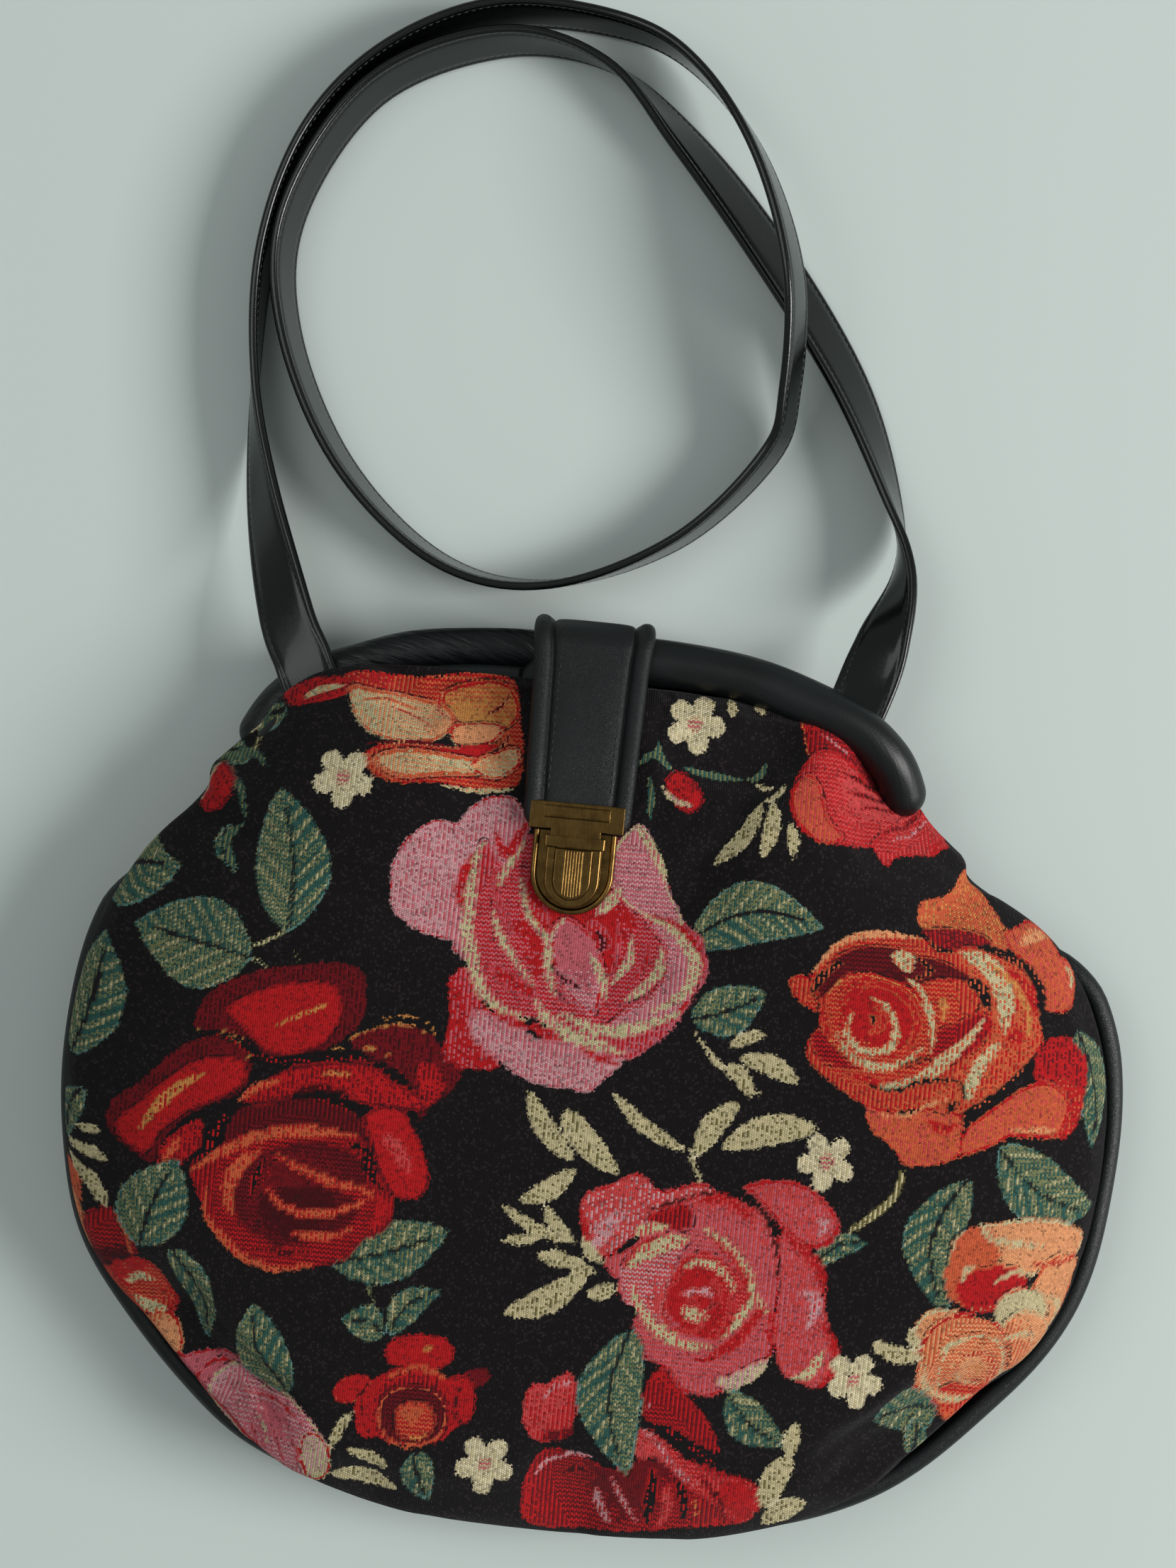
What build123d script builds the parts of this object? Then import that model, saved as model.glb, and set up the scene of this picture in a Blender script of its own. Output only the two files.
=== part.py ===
from build123d import *
import os
from math import asin, atan2, cos, radians, sin, sqrt, tan

os.makedirs("parts", exist_ok=True)

# Shoulder bag of woven cloth with leather trim, lying on its back. Millimetres.
# X runs across the bag, Y towards its mouth, Z up from the surface that it lies on.
# The origin is the middle of the flat that the bag rests on.

# Body
half_width = 183.0          # middle of the bag to the outside of the piping
foot_reach = 144.0          # origin to the bottom edge
mouth_reach = 173.0         # origin to where the body's outline would close above the mouth
seam_height = 22.0          # height of the side seam
crown_height = 57.0         # top of the filled front
cloth = 1.6                 # woven cloth with its interlining
seat_gap = 0.3              # soft pieces stop this far from what carries them
mouth_lean = 15.0           # the mouth lies this far to the left of the foot
lean_start = 60.0           # the lean begins at this height of the outline
lean_end = 115.0            # and is complete here

# Piping round the sides and the foot
piping_radius = 4.0
flange_thickness = 1.0
flange_depth = 10.0
piping_end_y = 74.0         # the piping stops here, below the shoulders
seam_margin = 1.4           # the cloth's seam lies this far inside the piping's bead

# Lining
lining_thickness = 0.8
lining_gap = 0.2

# Padded rims of the mouth
rim_radius = 8.0
rim_skin = 1.4
rim_core_fit = 0.1
rim_reach = 163.0           # outside of the rims at the middle of the mouth
rim_half_span = 121.0
rim_end_y = 118.0
front_rim_height = 41.5     # middle of the roll
back_rim_height = 19.5
rim_end_gap = 0.6           # between the two rolls where they meet at the sides
rim_inset_x = 0.85          # share of an inset from the rims' outside that shows at their ends
rim_inset_y = 0.7
mouth_gap = 1.2             # the cloth stops this far from the rims

# Closure tab
tab_x = -14.0
tab_width = 39.2
tab_thickness = 3.0
tab_edge_width = 6.5
tab_edge_thickness = 3.8
tab_end_y = 95.9
tab_back_y = 106.0
tab_end_width = 36.0
tab_end_lift = 1.2          # underside of the tab's end above the cloth
tab_bend = 60.0             # radius where it comes down on the filled front
tab_bend_y = 118.0

# Lock: tongue on the tab
tongue_width = 31.8
tongue_depth = 9.2
tongue_thickness = 1.3
tongue_low_y = 95.9
tongue_bar_width = 21.8
tongue_bar_depth = 4.2
tongue_bar_rise = 1.0
tip_width = 16.6
tip_reach = 4.9             # the tip runs this far below the plate
window_width = 6.6
window_depth = 1.5
plate_gap = 0.05
plate_edge = 1.2            # width of the plate's margin round the bar
screw_pitch = 17.0
screw_radius = 1.0
screw_head_radius = 1.9
screw_fit = 0.1
backing_width = 26.0
backing_depth = 6.6
backing_thickness = 0.8

# Lock: base on the body
base_width = 27.9
base_low_y = 67.8
base_top_y = 95.4
base_floor = 1.2
base_gap = 0.1
base_rim_width = 2.0
base_rim_height = 3.0
housing_width = 18.5
housing_low_y = 70.3
housing_top_y = 89.9
housing_lip = 1.15
button_width = 12.5
button_low_y = 72.9
button_top_y = 89.8
button_fit = 0.2
button_rise = 0.5           # the button stands this far out of its housing
button_travel = 1.2
skirt_width = 1.1           # the skirt runs this far out below the housing's lip
skirt_thickness = 1.35
skirt_clearance = 0.3
rib_count = 7
rib_pitch = 0.95
rib_radius = 0.35
catch_reach = 3.6           # the catch runs this far under the bridge
catch_width = 11.0
nib_width = 6.0
nib_depth = 1.0
nib_height = 1.15
bridge_low_y = 90.3
bridge_depth = 3.5
bridge_thickness = 1.2
bridge_width = 20.4
bridge_leg = 1.4
bridge_clearance = 0.3
prong_width = 3.2
prong_thickness = 0.7
prong_pitch = 21.0
prong_foot = 3.0
prong_fit = 0.5
prong_drop = 3.0            # the prongs pass this far below the middle of the base
prong_seat = 0.1
washer_thickness = 0.8
washer_margin = 1.0         # the washer stays this far inside the base's outline
spring_radius = 2.6
spring_wire = 0.2
spring_turns = 3
spring_pocket_radius = 3.4
spring_pocket_depth = 1.3

# Shoulder strap
strap_width = 20.5
strap_thickness = 3.0
strap_steps = 2             # sections between two points of the route

# Outline of the right half: shares of the half width, and of the foot's or the mouth's reach.
outline_shape = [
    (0.0, -1.0), (0.33, -0.978), (0.6, -0.865), (0.81, -0.63), (0.95, -0.375), (1.0, -0.035),
    (0.982, 0.23), (0.89, 0.43), (0.745, 0.565), (0.655, 0.69), (0.475, 0.87), (0.245, 0.975), (0.0, 1.0),
]

# Right half of a line along the mouth: shares of its half span, of the fall from the middle to
# the ends, and of the change from the middle's height to the ends'.
mouth_shape = [(0.0, 0.0, 0.0), (0.41, 0.033, 0.0), (0.75, 0.29, 0.0), (0.91, 0.58, 0.25), (1.0, 1.0, 1.0)]

# The filled cloth as level rings: share of the rise from the seam, how far inside the seam as a
# share of the half width, and how far the ring has sagged towards the foot, as such a share.
front_rings = [(0.0, 0.0, 0.0), (0.26, -0.0044, 0.011), (0.52, 0.025, 0.044), (0.74, 0.1235, 0.0656),
               (0.91, 0.2765, 0.0546), (1.0, 0.4732, 0.0)]
back_rings = [(0.0, 0.0, 0.0), (0.3, -0.0044, 0.0), (0.62, 0.0197, 0.0), (0.86, 0.0852, 0.0), (1.0, 0.189, 0.0)]
outline_steps = 2           # facets of the cloth between two points of the outline
back_slope_y = 82.0         # from here the back rises to its rim
back_slope = 15.5           # degrees

# Route of the strap's middle line from the left end to the right: x, y, height and turn about
# the route in degrees. At 0 the strap lies flat, at 90 it stands on its edge.
strap_route = [
    (-108, 134, 29.3, 5), (-113, 145, 28.8, 7), (-121, 161, 24.5, 20), (-134, 202, 14.5, 56),
    (-141, 244, 10.8, 86), (-141, 288, 10.6, 99), (-129, 329, 10.6, 104), (-104, 359, 10.6, 106),
    (-67, 377, 10.6, 105), (-23, 376, 12.0, 97), (4, 362, 18.0, 87), (27, 332, 28.0, 76),
    (42, 293, 31.0, 70), (45, 255, 22.0, 71), (40, 231, 13.5, 75), (11, 199, 10.7, 83),
    (-32, 180, 10.6, 95), (-71, 185, 10.6, 102), (-108, 216, 10.6, 105), (-131, 261, 10.6, 105),
    (-133, 302, 10.6, 107), (-109, 346, 10.6, 108), (-67, 367, 10.6, 106), (-29, 363, 10.6, 84),
    (1, 339, 9.5, 54), (35, 302, 8.3, 42), (66, 260, 9.0, 48), (84, 222, 11.2, 70),
    (90, 197, 17.0, 100), (85, 171, 25.0, 146), (80, 153, 29.1, 178), (74, 135, 29.6, 184),
]


def lean(y):
    """Shift to the left of a point at this height of the outline."""
    share = min(max((y - lean_start) / (lean_end - lean_start), 0.0), 1.0)
    return -mouth_lean * share * share * (3 - 2 * share)


def bag_outline():
    """Points round the outside of the piping, from the foot to the right."""
    right = [(x * half_width, y * (foot_reach if y < 0 else mouth_reach)) for x, y in outline_shape]
    whole = right + [(-x, y) for x, y in reversed(right[1:-1])]
    leaning = [(x + lean(y), y) for x, y in whole]
    around = smooth_route(leaning[-1:] + leaning + leaning[:2], outline_steps)
    return around[outline_steps:-2 * outline_steps]


def ring_points(inset, sag=0.0):
    """The outline drawn in by an inset at the sides, and moved towards the foot by a sag."""
    scale = 1 - inset / half_width
    shift = inset - foot_reach * inset / half_width - sag
    return [(x * scale, y * scale + shift) for x, y in outline[:-1]]


def rim_line(inset, mid_height, end_height):
    """Points of a line along the mouth, from its left end to its right."""
    reach = rim_reach - inset
    span = rim_half_span - rim_inset_x * inset
    fall = reach - (rim_end_y - rim_inset_y * inset)
    rise = end_height - mid_height
    half = [(out * span, reach - down * fall, mid_height + change * rise) for out, down, change in mouth_shape]
    left = [(-x, y, z) for x, y, z in reversed(half[1:])]
    return [(x - mouth_lean, y, z) for x, y, z in left + half]


def smooth_route(points, steps):
    """Rounded curve through a list of points, with this many parts between two of them."""
    last = len(points) - 1
    curve = []
    for i in range(last):
        a, b, c, d = points[max(i - 1, 0)], points[i], points[i + 1], points[min(i + 2, last)]
        for step in range(steps):
            t = step / steps
            curve.append(tuple(
                0.5 * (2 * q + (r - p) * t + (2 * p - 5 * q + 4 * r - s) * t**2 + (3 * q - p - 3 * r + s) * t**3)
                for p, q, r, s in zip(a, b, c, d)))
    curve.append(tuple(float(v) for v in points[last]))
    return curve


outline = bag_outline()
seam_inset = 2 * piping_radius + seam_margin
front_rise = crown_height - seam_height - flange_thickness / 2
back_fall = seam_height - flange_thickness / 2
front_seat = seam_height + flange_thickness / 2
back_seat = seam_height - flange_thickness / 2
front_end_height = seam_height + rim_radius + rim_end_gap / 2
back_end_height = seam_height - rim_radius - rim_end_gap / 2
front_rim_line = rim_line(rim_radius, front_rim_height, front_end_height)
back_rim_line = rim_line(rim_radius, back_rim_height, back_end_height)
seam_line = rim_line(2 * rim_radius + mouth_gap, front_rim_height, front_end_height)
mouth_line = [(x, y) for x, y, z in smooth_route(seam_line, outline_steps)]
far = 2 * half_width
lid = crown_height + 3 * base_rim_height


def filled(levels, slope_margin=None):
    """Soft solid through level rings. With a margin, it ends on the slope up to the back's rim."""
    with BuildPart() as body:
        for height, inset, sag in levels:
            with BuildSketch(Plane.XY.offset(height)):
                with BuildLine():
                    Polyline(*ring_points(inset, sag), close=True)
                make_face()
        loft(ruled=True)
        if slope_margin is not None:
            lift = slope_margin / cos(radians(back_slope))
            with BuildSketch(Plane.YZ.offset(-far)):
                with BuildLine():
                    Polyline((back_slope_y, lift), (far, lift + (far - back_slope_y) * tan(radians(back_slope))),
                             (far, -rim_radius), (back_slope_y - lift / tan(radians(back_slope)), -rim_radius),
                             close=True)
                make_face()
            extrude(amount=2 * far, mode=Mode.SUBTRACT)
    return body.part


def front_levels(margin):
    """Rings of the front, drawn in by a margin on every side."""
    return [(front_seat + share * (front_rise - margin), seam_inset + inside * half_width + margin, sag * half_width)
            for share, inside, sag in front_rings]


def back_levels(margin):
    """Rings of the back, drawn in by a margin on every side."""
    return [(back_seat - share * (back_fall - margin), seam_inset + inside * half_width + margin, sag * half_width)
            for share, inside, sag in back_rings]


def lining_levels(margin):
    """Rings of the lining's pouch from the back to the front, clear of the piping's flange."""
    clear = piping_radius + flange_depth + margin
    rings = list(reversed(back_levels(margin))) + front_levels(margin)
    return [(height, max(inset, clear), sag) for height, inset, sag in rings]


def bend_radii(points):
    """Radius of each bend of a path, as large as its runs allow."""
    radii = []
    for a, b, c in zip(points, points[1:], points[2:]):
        before = Vector(*b) - Vector(*a)
        after = Vector(*c) - Vector(*b)
        turn = radians(before.get_angle(after))
        radii.append(0.45 * min(before.length, after.length) / tan(turn / 2))
    return radii


lock_floor = crown_height + base_gap

# The lines that the two rims follow.
with BuildLine() as front_rim_path:
    FilletPolyline(*front_rim_line, radius=bend_radii(front_rim_line))
with BuildLine() as back_rim_path:
    FilletPolyline(*back_rim_line, radius=bend_radii(back_rim_line))


def roll(path, outer, inner=0.0):
    """Tube or rod along a rim's line."""
    line = path.wires()[0]
    with BuildPart() as tube:
        with BuildSketch(Plane(origin=line @ 0, z_dir=line % 0)):
            Circle(outer)
            if inner > 0:
                Circle(inner, mode=Mode.SUBTRACT)
        sweep(path=line)
    return tube.part


# Everything above the mouth, taken away from the cloth and the lining.
with BuildPart() as mouth_cut:
    with BuildSketch(Plane.XY.offset(-rim_radius)):
        with BuildLine():
            Polyline(*mouth_line, (far, mouth_line[-1][1]), (far, far), (-far, far), (-far, mouth_line[0][1]),
                     close=True)
        make_face()
    extrude(amount=lid)

# Room for the lock's two prongs, through the cloth and the lining.
prong_y = (base_low_y + base_top_y) / 2 - prong_drop
prong_places = [(tab_x - prong_pitch / 2, prong_y), (tab_x + prong_pitch / 2, prong_y)]
with BuildPart() as prong_slots:
    with BuildSketch(Plane.XY.offset(seam_height)):
        with Locations(*prong_places):
            Rectangle(prong_thickness + 2 * prong_fit, prong_width + 2 * prong_fit)
    extrude(amount=lid)

# Front: woven cloth over the filling, open along the mouth.
front_outside = filled(front_levels(0.0))
front_inside = filled(front_levels(cloth))
with BuildPart() as front_panel:
    add(front_outside)
    add(front_inside, mode=Mode.SUBTRACT)
    add(mouth_cut.part, mode=Mode.SUBTRACT)
    add(prong_slots.part, mode=Mode.SUBTRACT)
front_panel.part.label = "front_panel"
export_step(front_panel.part, "parts/front_panel.step")

# Back: the same cloth, flat where the bag rests.
back_outside = filled(back_levels(0.0), 0.0)
back_inside = filled(back_levels(cloth), cloth)
with BuildPart() as back_panel:
    add(back_outside)
    add(back_inside, mode=Mode.SUBTRACT)
    add(mouth_cut.part, mode=Mode.SUBTRACT)
back_panel.part.label = "back_panel"
export_step(back_panel.part, "parts/back_panel.step")

# Lining: one pouch inside both.
lining_outer = cloth + lining_gap
lining_inner = lining_outer + lining_thickness
lining_outside = filled(lining_levels(lining_outer), lining_outer)
lining_inside = filled(lining_levels(lining_inner), lining_inner)
with BuildPart() as lining:
    add(lining_outside)
    add(lining_inside, mode=Mode.SUBTRACT)
    add(mouth_cut.part, mode=Mode.SUBTRACT)
    add(prong_slots.part, mode=Mode.SUBTRACT)
lining.part.label = "lining"
export_step(lining.part, "parts/lining.step")

# Piping: a leather bead with a flange that is sewn between the two panels.
bead_ring = ring_points(piping_radius)
bead_top = bead_ring.index(max(bead_ring, key=lambda point: point[1]))
bead_points = [(x, y, seam_height) for x, y in bead_ring[bead_top:] + bead_ring[:bead_top] if y < piping_end_y]
with BuildLine() as piping_path:
    FilletPolyline(*bead_points, radius=bend_radii(bead_points))
bead_wire = piping_path.wires()[0]
with BuildPart() as side_piping:
    with BuildSketch(Plane.XY.offset(back_seat)):
        with BuildLine():
            Polyline(*bead_ring, close=True)
        make_face()
        with BuildLine():
            Polyline(*ring_points(piping_radius + flange_depth), close=True)
        make_face(mode=Mode.SUBTRACT)
        with Locations((0, piping_end_y + far)):
            Rectangle(2 * far, 2 * far, mode=Mode.SUBTRACT)
    extrude(amount=flange_thickness)
    with BuildSketch(Plane(origin=bead_wire @ 0, z_dir=bead_wire % 0)):
        Circle(piping_radius)
    sweep(path=bead_wire)
side_piping.part.label = "side_piping"
export_step(side_piping.part, "parts/side_piping.step")

# Rims of the mouth: a leather casing over a round core, front and back.
for name, path in (("front_rim", front_rim_path), ("back_rim", back_rim_path)):
    casing = roll(path, rim_radius, rim_radius - rim_skin)
    casing.label = name
    export_step(casing, f"parts/{name}.step")
    core = roll(path, rim_radius - rim_skin - rim_core_fit)
    core.label = f"{name}_core"
    export_step(core, f"parts/{name}_core.step")

# Closure tab: sewn to the back, over both rims and down on the front.
tab_wrap = rim_radius + seat_gap + tab_edge_thickness / 2
tab_wall_y = rim_reach - rim_radius + tab_wrap
tab_top = crown_height + tab_end_lift + tab_thickness
tab_end_z = tab_top - tab_thickness / 2
tab_back_z = (tab_back_y - back_slope_y) * tan(radians(back_slope)) - seat_gap - tab_edge_thickness / 2
rim_mid_y = rim_reach - rim_radius


def wrap_corner(start_y, start_z, rim_z, side):
    """Corner where a line from a point, touching the wrap about a rim, meets the tab's outer run."""
    across = rim_mid_y - start_y
    rise = rim_z - start_z
    reach = sqrt(across**2 + rise**2)
    angle = atan2(rise, across) + side * asin(tab_wrap / reach)
    return (tab_wall_y, start_z + (tab_wall_y - start_y) * tan(angle))


def tab_band(end_y, thickness):
    """Section of the tab along its length, from its sewn end to a point on the front."""
    with BuildSketch() as band:
        with BuildLine():
            FilletPolyline(
                (tab_back_y, tab_back_z),
                wrap_corner(tab_back_y, tab_back_z, back_rim_height, -1),
                wrap_corner(tab_bend_y, tab_end_z, front_rim_height, 1),
                (tab_bend_y, tab_end_z),
                (end_y, tab_end_z),
                radius=[tab_wrap, tab_wrap, tab_bend])
        trace(line_width=thickness)
    return band.sketch


screw_y = tongue_low_y + tongue_depth - tongue_bar_depth / 2 - plate_edge
screw_places = [(tab_x - screw_pitch / 2, screw_y), (tab_x + screw_pitch / 2, screw_y)]
tongue_z = tab_top + plate_gap

with BuildPart() as closure_tab:
    with BuildSketch(Plane.YZ.offset(tab_x - tab_width / 2)):
        add(tab_band(tab_end_y, tab_thickness))
    extrude(amount=tab_width)
    for edge_x in (tab_x - tab_width / 2, tab_x + tab_width / 2 - tab_edge_width):
        with BuildSketch(Plane.YZ.offset(edge_x)):
            add(tab_band(tongue_low_y + tongue_depth + plate_edge, tab_edge_thickness))
        extrude(amount=tab_edge_width)
    for side in (-1, 1):
        with BuildSketch(Plane.XY.offset(seam_height + rim_radius)):
            with BuildLine():
                Polyline((tab_x + side * tab_width / 2, rim_mid_y), (tab_x + side * tab_width, rim_mid_y),
                         (tab_x + side * tab_width, tab_end_y - plate_edge),
                         (tab_x + side * tab_end_width / 2, tab_end_y - plate_edge), close=True)
            make_face()
        extrude(amount=lid, mode=Mode.SUBTRACT)
    with BuildSketch(Plane.XY.offset(crown_height)):
        with Locations(*screw_places):
            Circle(screw_radius + screw_fit)
    extrude(amount=tab_end_lift + 2 * tab_thickness, mode=Mode.SUBTRACT)
closure_tab.part.label = "closure_tab"
export_step(closure_tab.part, "parts/closure_tab.step")

# Tongue of the lock: a plate on the tab's end, with the tip that slides under the bridge.
plate_mid_y = tongue_low_y + tongue_depth / 2
window_y = button_top_y + catch_reach - nib_depth / 2 - base_gap
with BuildPart() as lock_tongue:
    with BuildSketch(Plane.XY.offset(tongue_z)):
        with Locations((tab_x, plate_mid_y)):
            Rectangle(tongue_width, tongue_depth)
    extrude(amount=tongue_thickness)
    chamfer(lock_tongue.faces().sort_by(Axis.Z)[-1].edges(), plate_edge / 4)
    with BuildSketch(Plane.XY.offset(tongue_z)):
        with Locations((tab_x, tongue_low_y + plate_edge - (tip_reach + plate_edge) / 2)):
            Rectangle(tip_width, tip_reach + plate_edge)
    extrude(amount=tongue_thickness)
    with BuildSketch(Plane.XY.offset(tongue_z)):
        with Locations((tab_x, window_y)):
            Rectangle(window_width, window_depth)
    extrude(amount=tongue_thickness, mode=Mode.SUBTRACT)
    with BuildSketch(Plane.XY.offset(tongue_z + tongue_thickness)):
        with Locations((tab_x, screw_y)):
            Rectangle(tongue_bar_width, tongue_bar_depth)
    extrude(amount=tongue_bar_rise)
    bar_edges = lock_tongue.faces().sort_by(Axis.Z)[-1].edges().filter_by(Axis.X)
    fillet(bar_edges, 0.9 * tongue_bar_rise)
    with BuildSketch(Plane.XY.offset(tongue_z)):
        with Locations(*screw_places):
            Circle(screw_radius + screw_fit / 2)
    extrude(amount=tongue_thickness, mode=Mode.SUBTRACT)
lock_tongue.part.label = "lock_tongue"
export_step(lock_tongue.part, "parts/lock_tongue.step")

# Backing under the tab's end, and the two countersunk screws that hold the tongue to it.
backing_z = crown_height + tab_end_lift - plate_gap - backing_thickness
with BuildPart() as tongue_backing:
    with BuildSketch(Plane.XY.offset(backing_z)):
        with Locations((tab_x, screw_y)):
            RectangleRounded(backing_width, backing_depth, plate_edge)
    extrude(amount=backing_thickness)
    with Locations(*[Pos(x, y, backing_z) * Rot(180, 0, 0) for x, y in screw_places]):
        Cone(bottom_radius=screw_radius + screw_fit, top_radius=screw_head_radius + screw_fit,
             height=backing_thickness, align=(Align.CENTER, Align.CENTER, Align.MAX), mode=Mode.SUBTRACT)
tongue_backing.part.label = "tongue_backing"
export_step(tongue_backing.part, "parts/tongue_backing.step")

screw_length = tongue_z + tongue_thickness - screw_fit - backing_z
with BuildPart() as tongue_screws:
    with Locations(*[(x, y, backing_z) for x, y in screw_places]):
        Cone(bottom_radius=screw_head_radius, top_radius=screw_radius, height=backing_thickness,
             align=(Align.CENTER, Align.CENTER, Align.MIN))
        Cylinder(screw_radius, screw_length, align=(Align.CENTER, Align.CENTER, Align.MIN))
tongue_screws.part.label = "tongue_screws"
export_step(tongue_screws.part, "parts/tongue_screws.step")

# Base of the lock: floor with a raised rim, housing of the button, bridge over the tip.


def tombstone(width, low_y, top_y):
    """Plate outline, square at the top and round at the foot, about the lock's middle."""
    middle = low_y + width / 2
    with BuildSketch() as plate:
        with BuildLine():
            Polyline((tab_x + width / 2, middle), (tab_x + width / 2, top_y), (tab_x - width / 2, top_y),
                     (tab_x - width / 2, middle))
            ThreePointArc((tab_x - width / 2, middle), (tab_x, low_y), (tab_x + width / 2, middle))
        make_face()
    return plate.sketch


floor_z = lock_floor + base_floor
skirt_z = floor_z + button_travel + base_gap
lip_z = skirt_z + skirt_thickness + skirt_clearance
housing_top = lip_z + housing_lip
bridge_z = tongue_z + tongue_thickness + bridge_clearance
cavity_width = button_width + 2 * skirt_width + 2 * button_fit
cavity_low_y = button_low_y - skirt_width - button_fit
rim_line_width = base_width - base_rim_width
rim_line_low = base_low_y + base_rim_width / 2
rim_line_mid = rim_line_low + rim_line_width / 2
rim_left = tab_x - rim_line_width / 2
rim_right = tab_x + rim_line_width / 2
rim_z = lock_floor + base_rim_height / 2
prong_length = cloth + lining_gap + lining_thickness + washer_thickness + 3 * prong_seat + base_gap

with BuildLine() as base_rim_path:
    Line((rim_right, base_top_y, rim_z), (rim_right, rim_line_mid, rim_z))
    ThreePointArc((rim_right, rim_line_mid, rim_z), (tab_x, rim_line_low, rim_z), (rim_left, rim_line_mid, rim_z))
    Line((rim_left, rim_line_mid, rim_z), (rim_left, base_top_y, rim_z))

with BuildPart() as lock_base:
    with BuildSketch(Plane.XY.offset(lock_floor)):
        add(tombstone(base_width, base_low_y, base_top_y))
    extrude(amount=base_floor)
    with BuildSketch(Plane(origin=base_rim_path.line @ 0, z_dir=base_rim_path.line % 0, x_dir=(1, 0, 0))):
        SlotOverall(base_rim_height, base_rim_width, rotation=90)
    sweep(path=base_rim_path.line)
    with BuildSketch(Plane.XY.offset(floor_z)):
        add(tombstone(housing_width, housing_low_y, housing_top_y))
    extrude(amount=housing_top - floor_z)
    housing_rim = lock_base.faces().filter_by(Axis.Z).sort_by(Axis.Z)[-1].outer_wire().edges()
    fillet(housing_rim.filter_by(Axis.X, reverse=True), housing_lip * 0.7)
    with BuildSketch(Plane.XY.offset(floor_z)):
        add(tombstone(cavity_width, cavity_low_y, housing_top_y))
    extrude(amount=lip_z - floor_z, mode=Mode.SUBTRACT)
    with BuildSketch(Plane.XY.offset(floor_z)):
        add(tombstone(button_width + 2 * button_fit, button_low_y - button_fit, housing_top_y))
    extrude(amount=housing_top, mode=Mode.SUBTRACT)
    for side in (-1, 1):
        with BuildSketch(Plane.XY.offset(floor_z)):
            with Locations((tab_x + side * (bridge_width - bridge_leg) / 2, bridge_low_y + bridge_depth / 2)):
                Rectangle(bridge_leg, bridge_depth)
        extrude(amount=bridge_z + bridge_thickness - floor_z)
    with BuildSketch(Plane.XY.offset(bridge_z)):
        with Locations((tab_x, bridge_low_y + bridge_depth / 2)):
            Rectangle(bridge_width, bridge_depth)
    extrude(amount=bridge_thickness)
    bridge_ends = lock_base.faces().sort_by(Axis.Z)[-1].edges().filter_by(Axis.Y)
    fillet(bridge_ends, bridge_thickness * 0.7)
    with BuildSketch(Plane.XY.offset(floor_z)):
        with Locations((tab_x, button_top_y + catch_reach + button_fit + bridge_leg / 2)):
            Rectangle(catch_width, bridge_leg)
    extrude(amount=tongue_z - base_gap * 4 - floor_z)
    with BuildSketch(Plane.XY.offset(lock_floor - prong_length - prong_thickness)):
        with Locations(*prong_places):
            Rectangle(prong_thickness, prong_width)
    extrude(amount=prong_length + prong_thickness)
    for side in (-1, 1):
        with BuildSketch(Plane.XY.offset(lock_floor - prong_length - prong_thickness)):
            with Locations((tab_x + side * (prong_pitch + prong_thickness - prong_foot) / 2, prong_y)):
                Rectangle(prong_foot, prong_width)
        extrude(amount=prong_thickness)
lock_base.part.label = "lock_base"
export_step(lock_base.part, "parts/lock_base.step")

# Washer plate inside the bag, behind the lining.
washer_z = lock_floor - prong_length + prong_seat
with BuildPart() as lock_washer:
    with BuildSketch(Plane.XY.offset(washer_z)):
        add(tombstone(base_width - 2 * washer_margin, base_low_y + washer_margin, base_top_y - washer_margin))
        with Locations(*prong_places):
            Rectangle(prong_thickness + prong_fit, prong_width + prong_fit, mode=Mode.SUBTRACT)
    extrude(amount=washer_thickness)
lock_washer.part.label = "lock_washer"
export_step(lock_washer.part, "parts/lock_washer.step")

# Thumb button: a ribbed pad with a skirt below the lip and a catch under the bridge.
button_top = housing_top + button_rise
spring_y = (button_low_y + button_top_y) / 2
rib_top_y = button_top_y - 2 * rib_radius
with BuildPart() as button_ribs:
    with BuildSketch(Plane.XZ.offset(-rib_top_y)):
        with Locations((tab_x, button_top)):
            with GridLocations(rib_pitch, 0, rib_count, 1):
                Circle(rib_radius)
    extrude(amount=rib_top_y - button_low_y)
    with BuildSketch(Plane.XY.offset(lip_z)):
        add(tombstone(button_width - 2 * rib_pitch, button_low_y + rib_pitch, button_top_y))
    extrude(amount=lid, mode=Mode.INTERSECT)

with BuildPart() as lock_button:
    with BuildSketch(Plane.XY.offset(skirt_z)):
        add(tombstone(button_width, button_low_y, button_top_y))
    extrude(amount=button_top - skirt_z)
    pad_rim = lock_button.faces().filter_by(Axis.Z).sort_by(Axis.Z)[-1].edges()
    fillet(pad_rim, 0.9 * button_rise)
    with BuildSketch(Plane.XY.offset(skirt_z)):
        add(tombstone(button_width + 2 * skirt_width, button_low_y - skirt_width, button_top_y))
    extrude(amount=skirt_thickness)
    with BuildSketch(Plane.XY.offset(skirt_z)):
        with Locations((tab_x, button_top_y + catch_reach / 2)):
            Rectangle(catch_width, catch_reach)
    extrude(amount=skirt_thickness)
    with BuildSketch(Plane.XY.offset(skirt_z + skirt_thickness)):
        with Locations((tab_x, window_y)):
            Rectangle(nib_width, nib_depth)
    extrude(amount=nib_height)
    with BuildSketch(Plane.XY.offset(skirt_z)):
        with Locations((tab_x, spring_y)):
            Circle(spring_pocket_radius)
    extrude(amount=spring_pocket_depth, mode=Mode.SUBTRACT)
    add(button_ribs.part)
lock_button.part.label = "lock_button"
export_step(lock_button.part, "parts/lock_button.step")

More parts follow.
